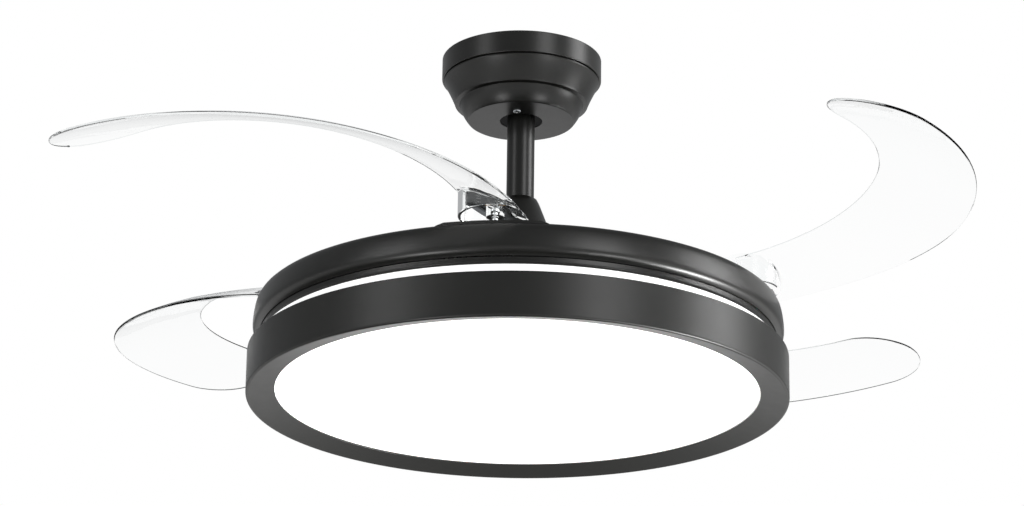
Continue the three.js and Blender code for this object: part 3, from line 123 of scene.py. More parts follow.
def finish_of(name, shader, colour=None, spread=0.0, spread_mm=40.0, rough=(0.4, 0.03), rough_mm=6.0,
              bump_mm=1.2, bump=0.06, bump_depth=0.02, kind="noise"):
    """A material: one shader, a slow drift of its colour, a drift of its roughness, and a fine relief."""
    material = bpy.data.materials.new(name)
    material.use_nodes = True
    tree = material.node_tree
    tree.nodes.clear()
    out = add(tree, "ShaderNodeOutputMaterial")
    body = add(tree, "ShaderNodeBsdfPrincipled", shader)
    place = add(tree, "ShaderNodeTexCoord").outputs["Object"]
    if colour:
        drift = add(tree, "ShaderNodeTexNoise", {"Scale": 1000 / spread_mm, "Detail": 3.0}, Vector=place)
        base = linear(colour)
        tint = add(tree, "ShaderNodeMix", {"data_type": "RGBA"}, Factor=drift.outputs["Fac"])
        tint.inputs[6].default_value = (*[c * (1 - spread) for c in base[:3]], 1)
        tint.inputs[7].default_value = (*[c * (1 + spread) for c in base[:3]], 1)
        tree.links.new(tint.outputs[2], body.inputs["Base Color"])
    wear = add(tree, "ShaderNodeTexNoise", {"Scale": 1000 / rough_mm, "Detail": 4.0}, Vector=place)
    level = add(tree, "ShaderNodeMapRange", {"To Min": rough[0] - rough[1], "To Max": rough[0] + rough[1]},
                Value=wear.outputs["Fac"])
    tree.links.new(level.outputs[0], body.inputs["Roughness"])
    if bump:
        if kind == "spangle":
            grain = add(tree, "ShaderNodeTexVoronoi", {"Scale": 1000 / bump_mm}, Vector=place)
            height = grain.outputs["Distance"]
        elif kind == "turned":
            grain = add(tree, "ShaderNodeTexWave", {"Scale": 1000 / bump_mm / 20, "bands_direction": "Z",
                        "Distortion": 0.6, "Detail": 2.0}, Vector=place)
            height = grain.outputs["Fac"]
        else:
            grain = add(tree, "ShaderNodeTexNoise", {"Scale": 1000 / bump_mm, "Detail": 2.0}, Vector=place)
            height = grain.outputs["Fac"]
        relief = add(tree, "ShaderNodeBump", {"Strength": bump, "Distance": bump_depth * MM}, Height=height)
        tree.links.new(relief.outputs["Normal"], body.inputs["Normal"])
    tree.links.new(body.outputs[0], out.inputs["Surface"])
    return material


# Satin black enamel, sprayed on spun steel and baked: a near-black body under a soft, even sheen,
# with the faint orange peel that sprayed paint keeps. Peel waves are about 1.5 mm.
SATIN_BLACK = finish_of("satin_black_enamel", {"IOR": 1.5, "Specular IOR Level": 0.36}, "0f0f0d", 0.12,
                        rough=(0.33, 0.025), rough_mm=9.0, bump_mm=1.6, bump=0.10, bump_depth=0.03)
# The same enamel on the lamp's hoop, which is rolled and brushed before it is sprayed: a touch duller.
HOOP_BLACK = finish_of("satin_black_hoop_enamel", {"IOR": 1.5, "Specular IOR Level": 0.36}, "10100e", 0.12,
                       rough=(0.38, 0.03), rough_mm=12.0, bump_mm=1.6, bump=0.08, bump_depth=0.03)
# Stove enamel, white, on the lamp's pan: bright and slightly soft, the same orange peel. The pan is given a
# painted glow of its own, so that it shows white in the shade of the gap under the drum.
WHITE_ENAMEL_PAINTED_GLOW = finish_of("white_stove_enamel", {"IOR": 1.5, "Emission Color": linear("ffffff"),
                                                "Emission Strength": 0.42}, "f4f4f2", 0.01, rough=(0.4, 0.03),
                         bump_mm=1.6, bump=0.06, bump_depth=0.03)
# Opal acrylic, cast with a fine matt face, lit from behind by the lamp's board: an even white.
OPAL = finish_of("opal_acrylic", {"IOR": 1.49, "Subsurface Weight": 0.1, "Subsurface Scale": 0.003,
                                  "Emission Color": linear("fffefb"), "Emission Strength": 0.45},
                 "f6f6f4", 0.006, spread_mm=90.0, rough=(0.42, 0.03), bump_mm=0.8, bump=0.03, bump_depth=0.01)
# Zinc plate on pressed steel: bright, blue-grey, with small spangles about 2 mm across.
ZINC = finish_of("zinc_plated_steel", {"Metallic": 1.0}, "b4b8bb", 0.06, spread_mm=8.0, rough=(0.34, 0.06),
                 rough_mm=3.0, bump_mm=2.2, bump=0.08, bump_depth=0.02, kind="spangle")
# Ground and polished steel pins: bright, with the fine rings the lathe leaves.
STEEL = finish_of("ground_steel", {"Metallic": 1.0}, "c3c5c6", 0.03, rough=(0.2, 0.04), rough_mm=2.0,
                  bump_mm=0.5, bump=0.05, bump_depth=0.01, kind="turned")
# Die-cast aluminium, shot blasted: grey, dull and finely pitted.
CAST = finish_of("die_cast_aluminium", {"Metallic": 1.0}, "8f9295", 0.08, spread_mm=14.0, rough=(0.5, 0.05),
                 rough_mm=2.5, bump_mm=0.9, bump=0.22, bump_depth=0.05)
# Natural nylon, moulded: warm white and waxy, so light goes a little way in.
NYLON = finish_of("moulded_nylon", {"IOR": 1.53, "Subsurface Weight": 0.2, "Subsurface Scale": 0.002},
                  "dedbcf", 0.03, rough=(0.48, 0.04), bump_mm=1.0, bump=0.06, bump_depth=0.02)
# Glass-filled black nylon and ABS mouldings: dark grey with a fine spark texture.
BLACK_PLASTIC = finish_of("black_moulded_nylon", {"IOR": 1.53}, "1b1b1c", 0.08, rough=(0.55, 0.05),
                          rough_mm=2.0, bump_mm=0.5, bump=0.18, bump_depth=0.03)
WHITE_PLASTIC = finish_of("white_moulded_abs", {"IOR": 1.53}, "e6e6e1", 0.02, rough=(0.5, 0.04),
                          rough_mm=3.0, bump_mm=0.6, bump=0.1, bump_depth=0.02)
# Sintered bronze, soaked in oil: brown-gold, matt and porous.
BRONZE = finish_of("sintered_bronze", {"Metallic": 1.0}, "a07a48", 0.14, spread_mm=3.0, rough=(0.48, 0.06),
                   rough_mm=1.0, bump_mm=0.4, bump=0.3, bump_depth=0.03)
# Sintered ferrite: charcoal, matt and gritty.
FERRITE = finish_of("sintered_ferrite", {"IOR": 2.0}, "37363a", 0.15, spread_mm=5.0, rough=(0.7, 0.06),
                    rough_mm=1.5, bump_mm=0.5, bump=0.25, bump_depth=0.04)
# Copper wire under clear enamel, wound in rows 0.6 mm apart.
WINDING = finish_of("enamelled_copper", {"Metallic": 1.0}, "a3602f", 0.1, spread_mm=6.0, rough=(0.34, 0.05),
                    bump_mm=0.6, bump=0.5, bump_depth=0.15, kind="turned")
# White solder mask on an aluminium board: flat, slightly glossy.
BOARD = finish_of("white_solder_mask", {"IOR": 1.55}, "eef0ee", 0.02, rough=(0.35, 0.04), bump_mm=1.0,
                  bump=0.05, bump_depth=0.01)


POLISH_DRIFT_MM, POLISH_ROUGH = 60, 0.01


def clear_acrylic(name, front_hex, edge_on_painted_shade_hex, from_inside_painted_shade_hex, ior, blend):
    """Moulded acrylic, polished clear, in three colours of painted shade: seen square on, seen edge on, and
    seen from inside. The darker tints stand in for the shade and reflections that clear acrylic shows. The
    polish varies a little, in slow drifts."""
    material = bpy.data.materials.new(name)
    material.use_nodes = True
    tree = material.node_tree
    tree.nodes.clear()
    out = add(tree, "ShaderNodeOutputMaterial")
    body = add(tree, "ShaderNodeBsdfPrincipled", {"Transmission Weight": 1.0, "IOR": ior})
    # Painted shade: the colour darkens as the surface turns edge on, and changes again where it is seen from
    # inside.
    turn_away = add(tree, "ShaderNodeLayerWeight", {"Blend": blend})
    near = add(tree, "ShaderNodeMix", {"data_type": "RGBA"}, Factor=turn_away.outputs["Facing"])
    near.inputs[6].default_value = linear(front_hex)
    near.inputs[7].default_value = linear(edge_on_painted_shade_hex)
    inside = add(tree, "ShaderNodeNewGeometry").outputs["Backfacing"]
    tint = add(tree, "ShaderNodeMix", {"data_type": "RGBA"}, Factor=inside, _6=near.outputs[2])
    tint.inputs[7].default_value = linear(from_inside_painted_shade_hex)
    tree.links.new(tint.outputs[2], body.inputs["Base Color"])
    place = add(tree, "ShaderNodeTexCoord").outputs["Object"]
    flow = add(tree, "ShaderNodeTexNoise", {"Scale": 1000 / POLISH_DRIFT_MM, "Detail": 2.0}, Vector=place)
    level = add(tree, "ShaderNodeMapRange", {"To Min": 0.0, "To Max": POLISH_ROUGH},
                Value=flow.outputs["Fac"])
    tree.links.new(level.outputs[0], body.inputs["Roughness"])
    tree.links.new(body.outputs[0], out.inputs["Surface"])
    return material


# Clear acrylic's IOR is about 1.49. Here it is lowered to match the photograph, where the leaves hardly
# show: the least for the edges, a little more for the leaf's faces, and more again for the thick hub.
# The colours given for each, square on, edge on and from inside, are painted shade: grey edge on, near-black
# from inside on the leading edge, and grey all over on the trailing edge.
CLEAR = clear_acrylic("clear_acrylic_leaf", "fefefe", "f1f3f3", "ffffff", 1.07, 0.25)
CLEAR_EDGE_PAINTED_DARK_LINE = clear_acrylic("clear_acrylic_leading_edge", "f4f6f6", "e2e6e6", "1c1e1e", 1.05, 0.5)
CLEAR_BACK_PAINTED_GREY = clear_acrylic("clear_acrylic_trailing_edge", "dfe3e3", "cdd3d3", "e4e7e7", 1.05, 0.5)
CLEAR_HUB = clear_acrylic("clear_acrylic_hub", "fdfefe", "eef1f1", "fcfdfd", 1.12, 0.3)

# ---------------------------------------------------------------------------
# Mesh making
# ---------------------------------------------------------------------------


def mesh_object(name, vertices, edges, faces, materials=()):
    """A new object at the origin, its place in its mesh, in metres."""
    data = bpy.data.meshes.new(name)
    data.from_pydata([Vector(v) * MM for v in vertices], edges, faces)
    obj = bpy.data.objects.new(name, data)
    bpy.context.scene.collection.objects.link(obj)
    for material in materials:
        data.materials.append(material)
    return obj


def soften(corners, radius, steps=5, guard=0.2):
    """Rounds each corner of a closed [radius, height] line. A guard point stands just outside each
    round, so that the flat beside it stays flat when the surface is shaded smooth."""
    line = []
    count = len(corners)
    for i, corner in enumerate(corners):
        here = Vector(corner[:2])
        size = corner[2] if len(corner) > 2 else radius
        before = Vector(corners[i - 1][:2]) - here
        after = Vector(corners[(i + 1) % count][:2]) - here
        if here.x < 1e-6 or size <= 0:
            line.append(tuple(here))
            continue
        angle = before.angle(after)
        reach = size / math.tan(angle / 2)
        reach = min(reach, 0.42 * before.length, 0.42 * after.length)
        true_r = reach * math.tan(angle / 2)
        a, b = before.normalized(), after.normalized()
        centre = here + (a + b).normalized() * math.hypot(true_r, reach)
        start, end = here + a * reach, here + b * reach
        line.append(tuple(start + a * min(guard, 0.1 * before.length)))
        for k in range(steps + 1):
            p = start.lerp(end, k / steps) - centre
            line.append(tuple(centre + p.normalized() * true_r))
        line.append(tuple(end + b * min(guard, 0.1 * after.length)))
    return line


def bezier(start, control, end, steps):
    """Points of a quadratic curve, both ends included; each has no rounding of its own."""
    out = []
    for i in range(steps + 1):
        t = i / steps
        point = tuple((1 - t) ** 2 * start[k] + 2 * t * (1 - t) * control[k] + t * t * end[k] for k in (0, 1))
        out.append(point + (0,))
    return out


def turning_tree():
    """Turns a closed profile, given as the incoming mesh in the XZ plane, about the Z axis."""
    tree = bpy.data.node_groups.new("turned_on_a_lathe", "GeometryNodeTree")
    face = tree.interface
    face.new_socket("Profile", in_out="INPUT", socket_type="NodeSocketGeometry")
    for name, kind in (("Segments", "NodeSocketInt"), ("Finish", "NodeSocketMaterial")):
        face.new_socket(name, in_out="INPUT", socket_type=kind)
    face.new_socket("Turned", in_out="OUTPUT", socket_type="NodeSocketGeometry")
    given = add(tree, "NodeGroupInput").outputs
    out = add(tree, "NodeGroupOutput")
    size = add(tree, "GeometryNodeAttributeDomainSize", {"component": "MESH"}, Geometry=given["Profile"])
    rows = add(tree, "ShaderNodeMath", {"operation": "ADD", 1: 1.0}, _0=size.outputs["Point Count"])
    columns = add(tree, "ShaderNodeMath", {"operation": "ADD", 1: 1.0}, _0=given["Segments"])
    grid = add(tree, "GeometryNodeMeshGrid", {"Size X": 1.0, "Size Y": 1.0},
               Vertices_X=rows.outputs[0], Vertices_Y=columns.outputs[0])
    where = add(tree, "ShaderNodeSeparateXYZ", None, Vector=add(tree, "GeometryNodeInputPosition").outputs[0])
    share_x = add(tree, "ShaderNodeMath", {"operation": "ADD", 1: 0.5}, _0=where.outputs["X"])
    share_y = add(tree, "ShaderNodeMath", {"operation": "ADD", 1: 0.5}, _0=where.outputs["Y"])
    row = add(tree, "ShaderNodeMath", {"operation": "MULTIPLY"}, _0=share_x.outputs[0],
              _1=size.outputs["Point Count"])
    row = add(tree, "ShaderNodeMath", {"operation": "ROUND"}, _0=row.outputs[0])
    row = add(tree, "ShaderNodeMath", {"operation": "MODULO"}, _0=row.outputs[0],
              _1=size.outputs["Point Count"])
    row = add(tree, "ShaderNodeMath", {"operation": "ROUND"}, _0=row.outputs[0])
    turn = add(tree, "ShaderNodeMath", {"operation": "MULTIPLY", 1: 2 * math.pi}, _0=share_y.outputs[0])
    sample = add(tree, "GeometryNodeSampleIndex", {"data_type": "FLOAT_VECTOR", "domain": "POINT"},
                 Geometry=given["Profile"], Index=row.outputs[0],
                 Value=add(tree, "GeometryNodeInputPosition").outputs[0])
    point = add(tree, "ShaderNodeSeparateXYZ", None, Vector=sample.outputs[0])
    across = add(tree, "ShaderNodeMath", {"operation": "COSINE"}, _0=turn.outputs[0])
    along_y = add(tree, "ShaderNodeMath", {"operation": "SINE"}, _0=turn.outputs[0])
    x = add(tree, "ShaderNodeMath", {"operation": "MULTIPLY"}, _0=across.outputs[0], _1=point.outputs["X"])
    y = add(tree, "ShaderNodeMath", {"operation": "MULTIPLY"}, _0=along_y.outputs[0], _1=point.outputs["X"])
    new_place = add(tree, "ShaderNodeCombineXYZ", None, X=x.outputs[0], Y=y.outputs[0], Z=point.outputs["Z"])
    moved = add(tree, "GeometryNodeSetPosition", None, Geometry=grid.outputs["Mesh"],
                Position=new_place.outputs[0])
    closed = add(tree, "GeometryNodeMergeByDistance", {"Distance": 1e-6}, Geometry=moved.outputs[0])
    solid = add(tree, "GeometryNodeRealizeInstances", None, Geometry=closed.outputs[0])
    smooth = add(tree, "GeometryNodeSetShadeSmooth", None, Geometry=solid.outputs[0])
    painted = add(tree, "GeometryNodeSetMaterial", None, Geometry=smooth.outputs[0], Material=given["Finish"])
    tree.links.new(painted.outputs[0], out.inputs[0])
    return tree


def repeat_tree():
    """Sets copies of the incoming mesh on a circle about the Z axis, each turned outward, and each
    spun about its own axis by chance."""
    tree = bpy.data.node_groups.new("copies_round_a_circle", "GeometryNodeTree")
    face = tree.interface
    face.new_socket("One", in_out="INPUT", socket_type="NodeSocketGeometry")
    for name, kind in (("Count", "NodeSocketInt"), ("Ring Radius", "NodeSocketFloat"),
                       ("Height", "NodeSocketFloat"), ("First Angle", "NodeSocketFloat"),
                       ("Spin", "NodeSocketFloat"), ("Seed", "NodeSocketInt"),
                       ("Finish", "NodeSocketMaterial")):
        face.new_socket(name, in_out="INPUT", socket_type=kind)
    face.new_socket("Row", in_out="OUTPUT", socket_type="NodeSocketGeometry")
    given = add(tree, "NodeGroupInput").outputs
    out = add(tree, "NodeGroupOutput")
    points = add(tree, "GeometryNodePoints", None, Count=given["Count"])
    index = add(tree, "GeometryNodeInputIndex").outputs[0]
    share = add(tree, "ShaderNodeMath", {"operation": "DIVIDE"}, _0=index, _1=given["Count"])
    angle = add(tree, "ShaderNodeMath", {"operation": "MULTIPLY_ADD", 1: 2 * math.pi}, _0=share.outputs[0],
                _2=given["First Angle"])
    x = add(tree, "ShaderNodeMath", {"operation": "COSINE"}, _0=angle.outputs[0])
    y = add(tree, "ShaderNodeMath", {"operation": "SINE"}, _0=angle.outputs[0])
    x = add(tree, "ShaderNodeMath", {"operation": "MULTIPLY"}, _0=x.outputs[0], _1=given["Ring Radius"])
    y = add(tree, "ShaderNodeMath", {"operation": "MULTIPLY"}, _0=y.outputs[0], _1=given["Ring Radius"])
    place = add(tree, "ShaderNodeCombineXYZ", None, X=x.outputs[0], Y=y.outputs[0], Z=given["Height"])
    placed = add(tree, "GeometryNodeSetPosition", None, Geometry=points.outputs[0], Position=place.outputs[0])
    chance = add(tree, "FunctionNodeRandomValue", {"data_type": "FLOAT"}, Seed=given["Seed"])
    own = add(tree, "ShaderNodeMath", {"operation": "MULTIPLY_ADD"}, _0=chance.outputs[1], _1=given["Spin"],
              _2=angle.outputs[0])
    facing = add(tree, "ShaderNodeCombineXYZ", None, Z=own.outputs[0])
    copies = add(tree, "GeometryNodeInstanceOnPoints", None, Points=placed.outputs[0], Instance=given["One"],
                 Rotation=facing.outputs[0])
    solid = add(tree, "GeometryNodeRealizeInstances", None, Geometry=copies.outputs[0])
    painted = add(tree, "GeometryNodeSetMaterial", None, Geometry=solid.outputs[0], Material=given["Finish"])
    tree.links.new(painted.outputs[0], out.inputs[0])
    return tree


TURNING = turning_tree()
REPEAT = repeat_tree()


def grown(obj, tree, **values):
    """Runs a tree on obj with its named inputs set, and keeps the result as a plain mesh."""
    modifier = obj.modifiers.new(tree.name, "NODES")
    modifier.node_group = tree
    for item in tree.interface.items_tree:
        key = item.name.lower().replace(" ", "_")
        if item.item_type == "SOCKET" and item.in_out == "INPUT" and key in values:
            modifier[item.identifier] = values[key]
    evaluated = obj.evaluated_get(bpy.context.evaluated_depsgraph_get())
    data = bpy.data.meshes.new_from_object(evaluated)
    obj.modifiers.remove(modifier)
    old = obj.data
    obj.data = data
    bpy.data.meshes.remove(old)
    return obj


def tidy_normals(obj):
    """Merges doubles, drops faces with no area and points every face outwards."""
    work = bmesh.new()
    work.from_mesh(obj.data)
    bmesh.ops.remove_doubles(work, verts=work.verts, dist=1e-6)
    bmesh.ops.dissolve_degenerate(work, edges=work.edges, dist=1e-7)
    bmesh.ops.recalc_face_normals(work, faces=work.faces)
    work.to_mesh(obj.data)
    work.free()
    return obj


def turned(name, profile, finish, segments=192):
    """A piece turned about the Z axis from a closed profile in millimetres."""
    count = len(profile)
    vertices = [(p[0], 0, p[1]) for p in profile]
    edges = [(i, (i + 1) % count) for i in range(count)]
    obj = mesh_object(name, vertices, edges, [])
    grown(obj, TURNING, segments=segments, finish=finish)
    return tidy_normals(obj)


def baked(obj):
    """Applies the modifiers of obj to its mesh."""
    evaluated = obj.evaluated_get(bpy.context.evaluated_depsgraph_get())
    data = bpy.data.meshes.new_from_object(evaluated)
    obj.modifiers.clear()
    obj.data = data
    return obj


def combined(obj, other, operation):
    """obj joined with, cut by or kept inside other, which is used up."""
    modifier = obj.modifiers.new(operation, "BOOLEAN")
    modifier.operation = operation
    modifier.solver = "EXACT"
    modifier.object = other
    baked(obj)
    bpy.data.objects.remove(other)
    return obj


def smooth_by(obj, degrees):
    obj.data.shade_smooth()
    obj.data.set_sharp_from_angle(angle=math.radians(degrees))
    return obj


def eased_copy(node, name, finish, edge_mm=0.3, smooth_deg=35.0, bevel_deg=40.0):
    """A copy of a CAD node with its triangles merged, its edges eased and its rounds shaded smooth."""
    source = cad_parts[node]
    data = source.data.copy()
    data.materials.clear()
    data.materials.append(finish)
    obj = bpy.data.objects.new(name, data)
    bpy.context.scene.collection.objects.link(obj)
    work = bmesh.new()
    work.from_mesh(data)
    bmesh.ops.remove_doubles(work, verts=work.verts, dist=2e-6)
    bmesh.ops.dissolve_limit(work, angle_limit=math.radians(1.0), verts=work.verts, edges=work.edges)
    for f in work.faces:
        f.material_index = 0
    work.to_mesh(data)
    work.free()
    if edge_mm:
        bevel = obj.modifiers.new("eased_edges", "BEVEL")
        bevel.width = edge_mm * MM
        bevel.segments = 2
        bevel.limit_method = "ANGLE"
        bevel.angle_limit = math.radians(bevel_deg)
        bevel.harden_normals = False
        baked(obj)
    smooth_by(obj, smooth_deg)
    return obj


def keep(obj, body, slot, *nodes):
    """Hangs a finished piece on its body, in place of the nodes it stands for."""
    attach(obj, body)
    if nodes:
        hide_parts(*nodes)
    return obj


# ---------------------------------------------------------------------------
# Canopy, rod and bell
# ---------------------------------------------------------------------------

band = soften([
    (BOWL_NECK_R + BAND_GAP, BAND_BOTTOM), (BAND_R, BAND_BOTTOM, 0.9), (BAND_R, BAND_TOP, 1.4),
    (BAND_R - BAND_WALL, BAND_TOP), (BAND_R - BAND_WALL, BAND_BOTTOM + BAND_RIM),
    (BOWL_NECK_R + BAND_GAP, BAND_BOTTOM + BAND_RIM),
], 0.3)
keep(turned("canopy_trim_band", band, SATIN_BLACK), "ceiling_mount", "black_paint", "canopy_band")

shoulder = BAND_BOTTOM - BAND_GAP
outer_bowl = (
    [(BOWL_NECK_R, BAND_TOP, 0.3), (BOWL_NECK_R, shoulder - 0.25, 0.15)]
    + [(73.3, shoulder - 0.3, 0.3)]
    + bezier((73.6, -22.7), (68.6, -31.0), (63.3, -44.1), 18)
    + [(63.0, -45.3, 0.5), (58.7, -46.0, 0.5)]
    + bezier((58.3, -46.9), (56.2, -54.0), (51.2, -60.6), 14)
    + [(BOWL_FLOOR_R, BOWL_FLOOR, 1.1), (BOWL_HOLE_R, BOWL_FLOOR, 0.4)]
    + [(BOWL_HOLE_R, BOWL_FLOOR + BOWL_SHEET, 0.4)]
)
inner_bowl = (
    [(BOWL_FLOOR_INNER_R, BOWL_FLOOR + BOWL_SHEET, 0.6)]
    + bezier((49.9, -59.8), (54.8, -53.6), (56.9, -46.0), 10)
    + [(57.2, -44.7, 0.3), (61.5, -43.9, 0.3)]
    + bezier((61.9, -43.0), (67.0, -31.0), (BOWL_NECK_R - BOWL_SHEET, shoulder - 0.8), 12)
    + [(BOWL_NECK_R - BOWL_SHEET, BAND_TOP, 0.3)]
)
bowl = turned("canopy_spun_bowl", soften(outer_bowl + inner_bowl, 0.4, steps=4), SATIN_BLACK)
keep(bowl, "ceiling_mount", "black_paint", "canopy_bowl")

rod = soften([
    (ROD_R, ROD_TOP, 0.5), (ROD_R - ROD_WALL, ROD_TOP, 0.4),
    (ROD_R - ROD_WALL, ROD_BOTTOM, 0.4), (ROD_R, ROD_BOTTOM, 0.5),
], 0.4, steps=4)
keep(turned("hanging_rod", rod, SATIN_BLACK, MIDDLE_TURN), "hanging_frame", "black_paint", "downrod")

bell_out = [
    (13.7, -141.0, 0.3), (16.1, -142.6, 0), (18.3, -147.0, 0), (20.6, -153.0, 0), (22.9, -159.0, 0),
    (26.4, -168.5, 0), (29.9, -178.0, 0),
]
bell_flare = bezier((29.9, -178.0), (34.6, -186.8), (43.4, -190.6), 9)[1:]
bell_rim = [(45.6, -192.6, 1.0), (46.0, BELL_FOOT, 0.5), (44.6, BELL_FOOT, 0.4), (43.6, -193.2, 0.4)]
bell_in = [
    (38.6, -189.4, 0), (32.2, -184.4, 0), (28.5, -178.0, 0), (21.2, -158.6, 0), (16.9, -147.0, 0),
    (13.3, -146.0, 0.2), (13.3, -141.0, 0.3),
]
bell = soften(bell_out + bell_flare + bell_rim + bell_in, 0.3, steps=4)
keep(turned("collar_bell", bell, SATIN_BLACK, 128), "hanging_frame", "black_paint", "collar_cover")

for node, name, finish, body, slot in (
    ("hanger_bracket", "pressed_hanger_bracket", ZINC, "ceiling_mount", "zinc_steel"),
    ("hanger_ball", "moulded_hanger_ball", BLACK_PLASTIC, "hanging_frame", "black_plastic"),
    ("receiver_box", "receiver_housing", BLACK_PLASTIC, "ceiling_mount", "black_plastic"),
    ("terminal_block", "terminal_comb", WHITE_PLASTIC, "ceiling_mount", "white_plastic"),
):
    keep(eased_copy(node, name, finish, 0.35), body, slot, node)

# ---------------------------------------------------------------------------
# Motor and drum
# ---------------------------------------------------------------------------

upper = soften([
    (MOTOR_BORE_R, MOTOR_TOP, 0.3), (30.0, MOTOR_TOP, 3.0), (68.0, MOTOR_TOP - 3.6, 9.0),
    (MOTOR_R, MOTOR_TOP - 11.5, 5.0), (MOTOR_R, MOTOR_MID + MOTOR_HALF_GAP, 0.4),
    (MOTOR_R - MOTOR_SHEET, MOTOR_MID + MOTOR_HALF_GAP, 0.3), (MOTOR_R - MOTOR_SHEET, MOTOR_TOP - 12.5, 1.0),
    (69.0, MOTOR_TOP - 8.4, 1.0), (24.0, MOTOR_TOP - MOTOR_SHEET, 1.0),
    (SEAT_OUTER_R, MOTOR_TOP - MOTOR_SHEET, 0.2), (SEAT_OUTER_R, MOTOR_TOP - SEAT_DEPTH, 0.2),
    (SEAT_INNER_R, MOTOR_TOP - SEAT_DEPTH, 0.2), (SEAT_INNER_R, MOTOR_TOP - MOTOR_SHEET, 0.2),
    (MOTOR_BORE_R, MOTOR_TOP - MOTOR_SHEET, 0.2),
], 0.4)
keep(turned("motor_cap_upper", upper, CAST, 160), "rotor", "cast_aluminium", "motor_shell_upper")
lower = soften([
    (MOTOR_BORE_R, MOTOR_BOTTOM, 0.3), (MOTOR_FLANGE_R, MOTOR_BOTTOM, 0.6),
    (MOTOR_FLANGE_R, MOTOR_BOTTOM + MOTOR_SHEET, 0.8), (MOTOR_R + 0.4, MOTOR_BOTTOM + MOTOR_SHEET, 2.0),
    (MOTOR_R, MOTOR_MID - MOTOR_HALF_GAP, 0.4), (MOTOR_R - MOTOR_SHEET, MOTOR_MID - MOTOR_HALF_GAP, 0.3),
    (MOTOR_R - MOTOR_SHEET, MOTOR_BOTTOM + MOTOR_SHEET, 0.8),
    (SEAT_OUTER_R, MOTOR_BOTTOM + MOTOR_SHEET, 0.2), (SEAT_OUTER_R, MOTOR_BOTTOM + SEAT_DEPTH, 0.2),
    (SEAT_INNER_R, MOTOR_BOTTOM + SEAT_DEPTH, 0.2), (SEAT_INNER_R, MOTOR_BOTTOM + MOTOR_SHEET, 0.2),
    (MOTOR_BORE_R, MOTOR_BOTTOM + MOTOR_SHEET, 0.2),
], 0.4)
keep(turned("motor_cap_lower", lower, CAST, 160), "rotor", "cast_aluminium", "motor_shell_lower")

# The drum's side as [radius, depth below its top], outside and then inside
drum_side = [
    (236.0, 0), (238.6, -0.1), (240.6, -0.7), (242.1, -2.0), (243.3, -4.2), (244.1, -7.2), (244.7, -10.6),
    (245.2, -14.2), (245.55, -17.8), (245.7, -21.0), (245.65, -23.0), (245.2, -24.9), (244.3, -26.6),
    (243.0, -28.0), (241.3, -29.2),
]
drum_inner_side = [
    (241.9, -27.4), (244.1, -24.2), (244.5, -21.0), (243.5, -10.8), (242.1, -4.8), (239.6, -1.9),
    (235.0, -1.2),
]
drum_line = soften(
    [(DRUM_BORE_R, DRUM_TOP, 0.4)]
    + [(r, DRUM_TOP + z, 0) for r, z in drum_side]
    + [(239.6, DRUM_BOTTOM, 0.3), (238.5, DRUM_BOTTOM + 0.1, 0.2)]
    + [(r, DRUM_TOP + z, 0) for r, z in drum_inner_side]
    + [(GUIDE_OUT, DRUM_TOP - DRUM_SHEET, 0), (GUIDE_OUT, GUIDE_BOTTOM, 0.2), (GUIDE_IN, GUIDE_BOTTOM, 0.2)]
    + [(GUIDE_IN, DRUM_TOP - DRUM_SHEET, 0), (DRUM_BORE_R, DRUM_TOP - DRUM_SHEET, 0.3)], 0.3)
drum = turned("blade_drum_tray", drum_line, SATIN_BLACK, LARGE_TURN)

pad_line = soften([
    (0, DRUM_TOP - 0.9, 0), (PAD_FOOT_R + 1.2, DRUM_TOP - 0.9, 0), (PAD_FOOT_R + 0.3, DRUM_TOP + 0.1, 0),
    (PAD_R, PAD_TOP, 2.4), (0, PAD_TOP, 0),
], 1.0, steps=6)


def plain_disc(radius, low, high):
    """Profile of a plain solid disc, used to cut or to clip."""
    return [(0, low, 0), (radius, low, 0), (radius, high, 0), (0, high, 0)]


def at_pivot(obj, index):
    """Moves a piece made at the origin to a blade's pivot, into its mesh."""
    turn = math.radians(FIRST_PIVOT_DEG + index * 360 / BLADE_COUNT)
    obj.data.transform(Matrix.Rotation(turn, 4, "Z") @ Matrix.Translation((PIVOT_R * MM, 0, 0)))
    return obj


for i in range(BLADE_COUNT):
    pad = at_pivot(turned(f"pad_{i + 1}", pad_line, SATIN_BLACK, MIDDLE_TURN), i)
    clip_line = plain_disc(PAD_CLIP_R, DRUM_TOP - 3, PAD_TOP + 2)
    clip = turned(f"pad_clip_{i + 1}", clip_line, SATIN_BLACK, LARGE_TURN)
    combined(pad, clip, "INTERSECT")
    combined(drum, pad, "UNION")
    hole_line = plain_disc(PAD_HOLE_R, DRUM_TOP - 4, PAD_TOP + 2)
    hole = at_pivot(turned(f"pad_hole_{i + 1}", hole_line, SATIN_BLACK, PIN_TURN), i)
    combined(drum, hole, "DIFFERENCE")
smooth_by(drum, 28)
keep(drum, "rotor", "black_paint", "blade_drum")

cover = soften([
    (COVER_BORE_R, LIP_BOTTOM, 0.3), (LIP_R, LIP_BOTTOM, 2.2), (LIP_R, LIP_TOP, 0.3),
    (LIP_R - DRUM_SHEET, LIP_TOP, 0.3), (LIP_R - DRUM_SHEET, LIP_BOTTOM + DRUM_SHEET, 1.4),
    (COVER_RING_OUT, LIP_BOTTOM + DRUM_SHEET, 0), (COVER_RING_OUT, COVER_RING_TOP, 0.2),
    (COVER_RING_IN, COVER_RING_TOP, 0.2), (COVER_RING_IN, LIP_BOTTOM + DRUM_SHEET, 0),
    (COVER_BORE_R, LIP_BOTTOM + DRUM_SHEET, 0.3),
], 0.3)
keep(turned("drum_bottom_cover", cover, SATIN_BLACK, LARGE_TURN), "rotor", "black_paint", "drum_cover")

# ---------------------------------------------------------------------------
# Lamp
# ---------------------------------------------------------------------------

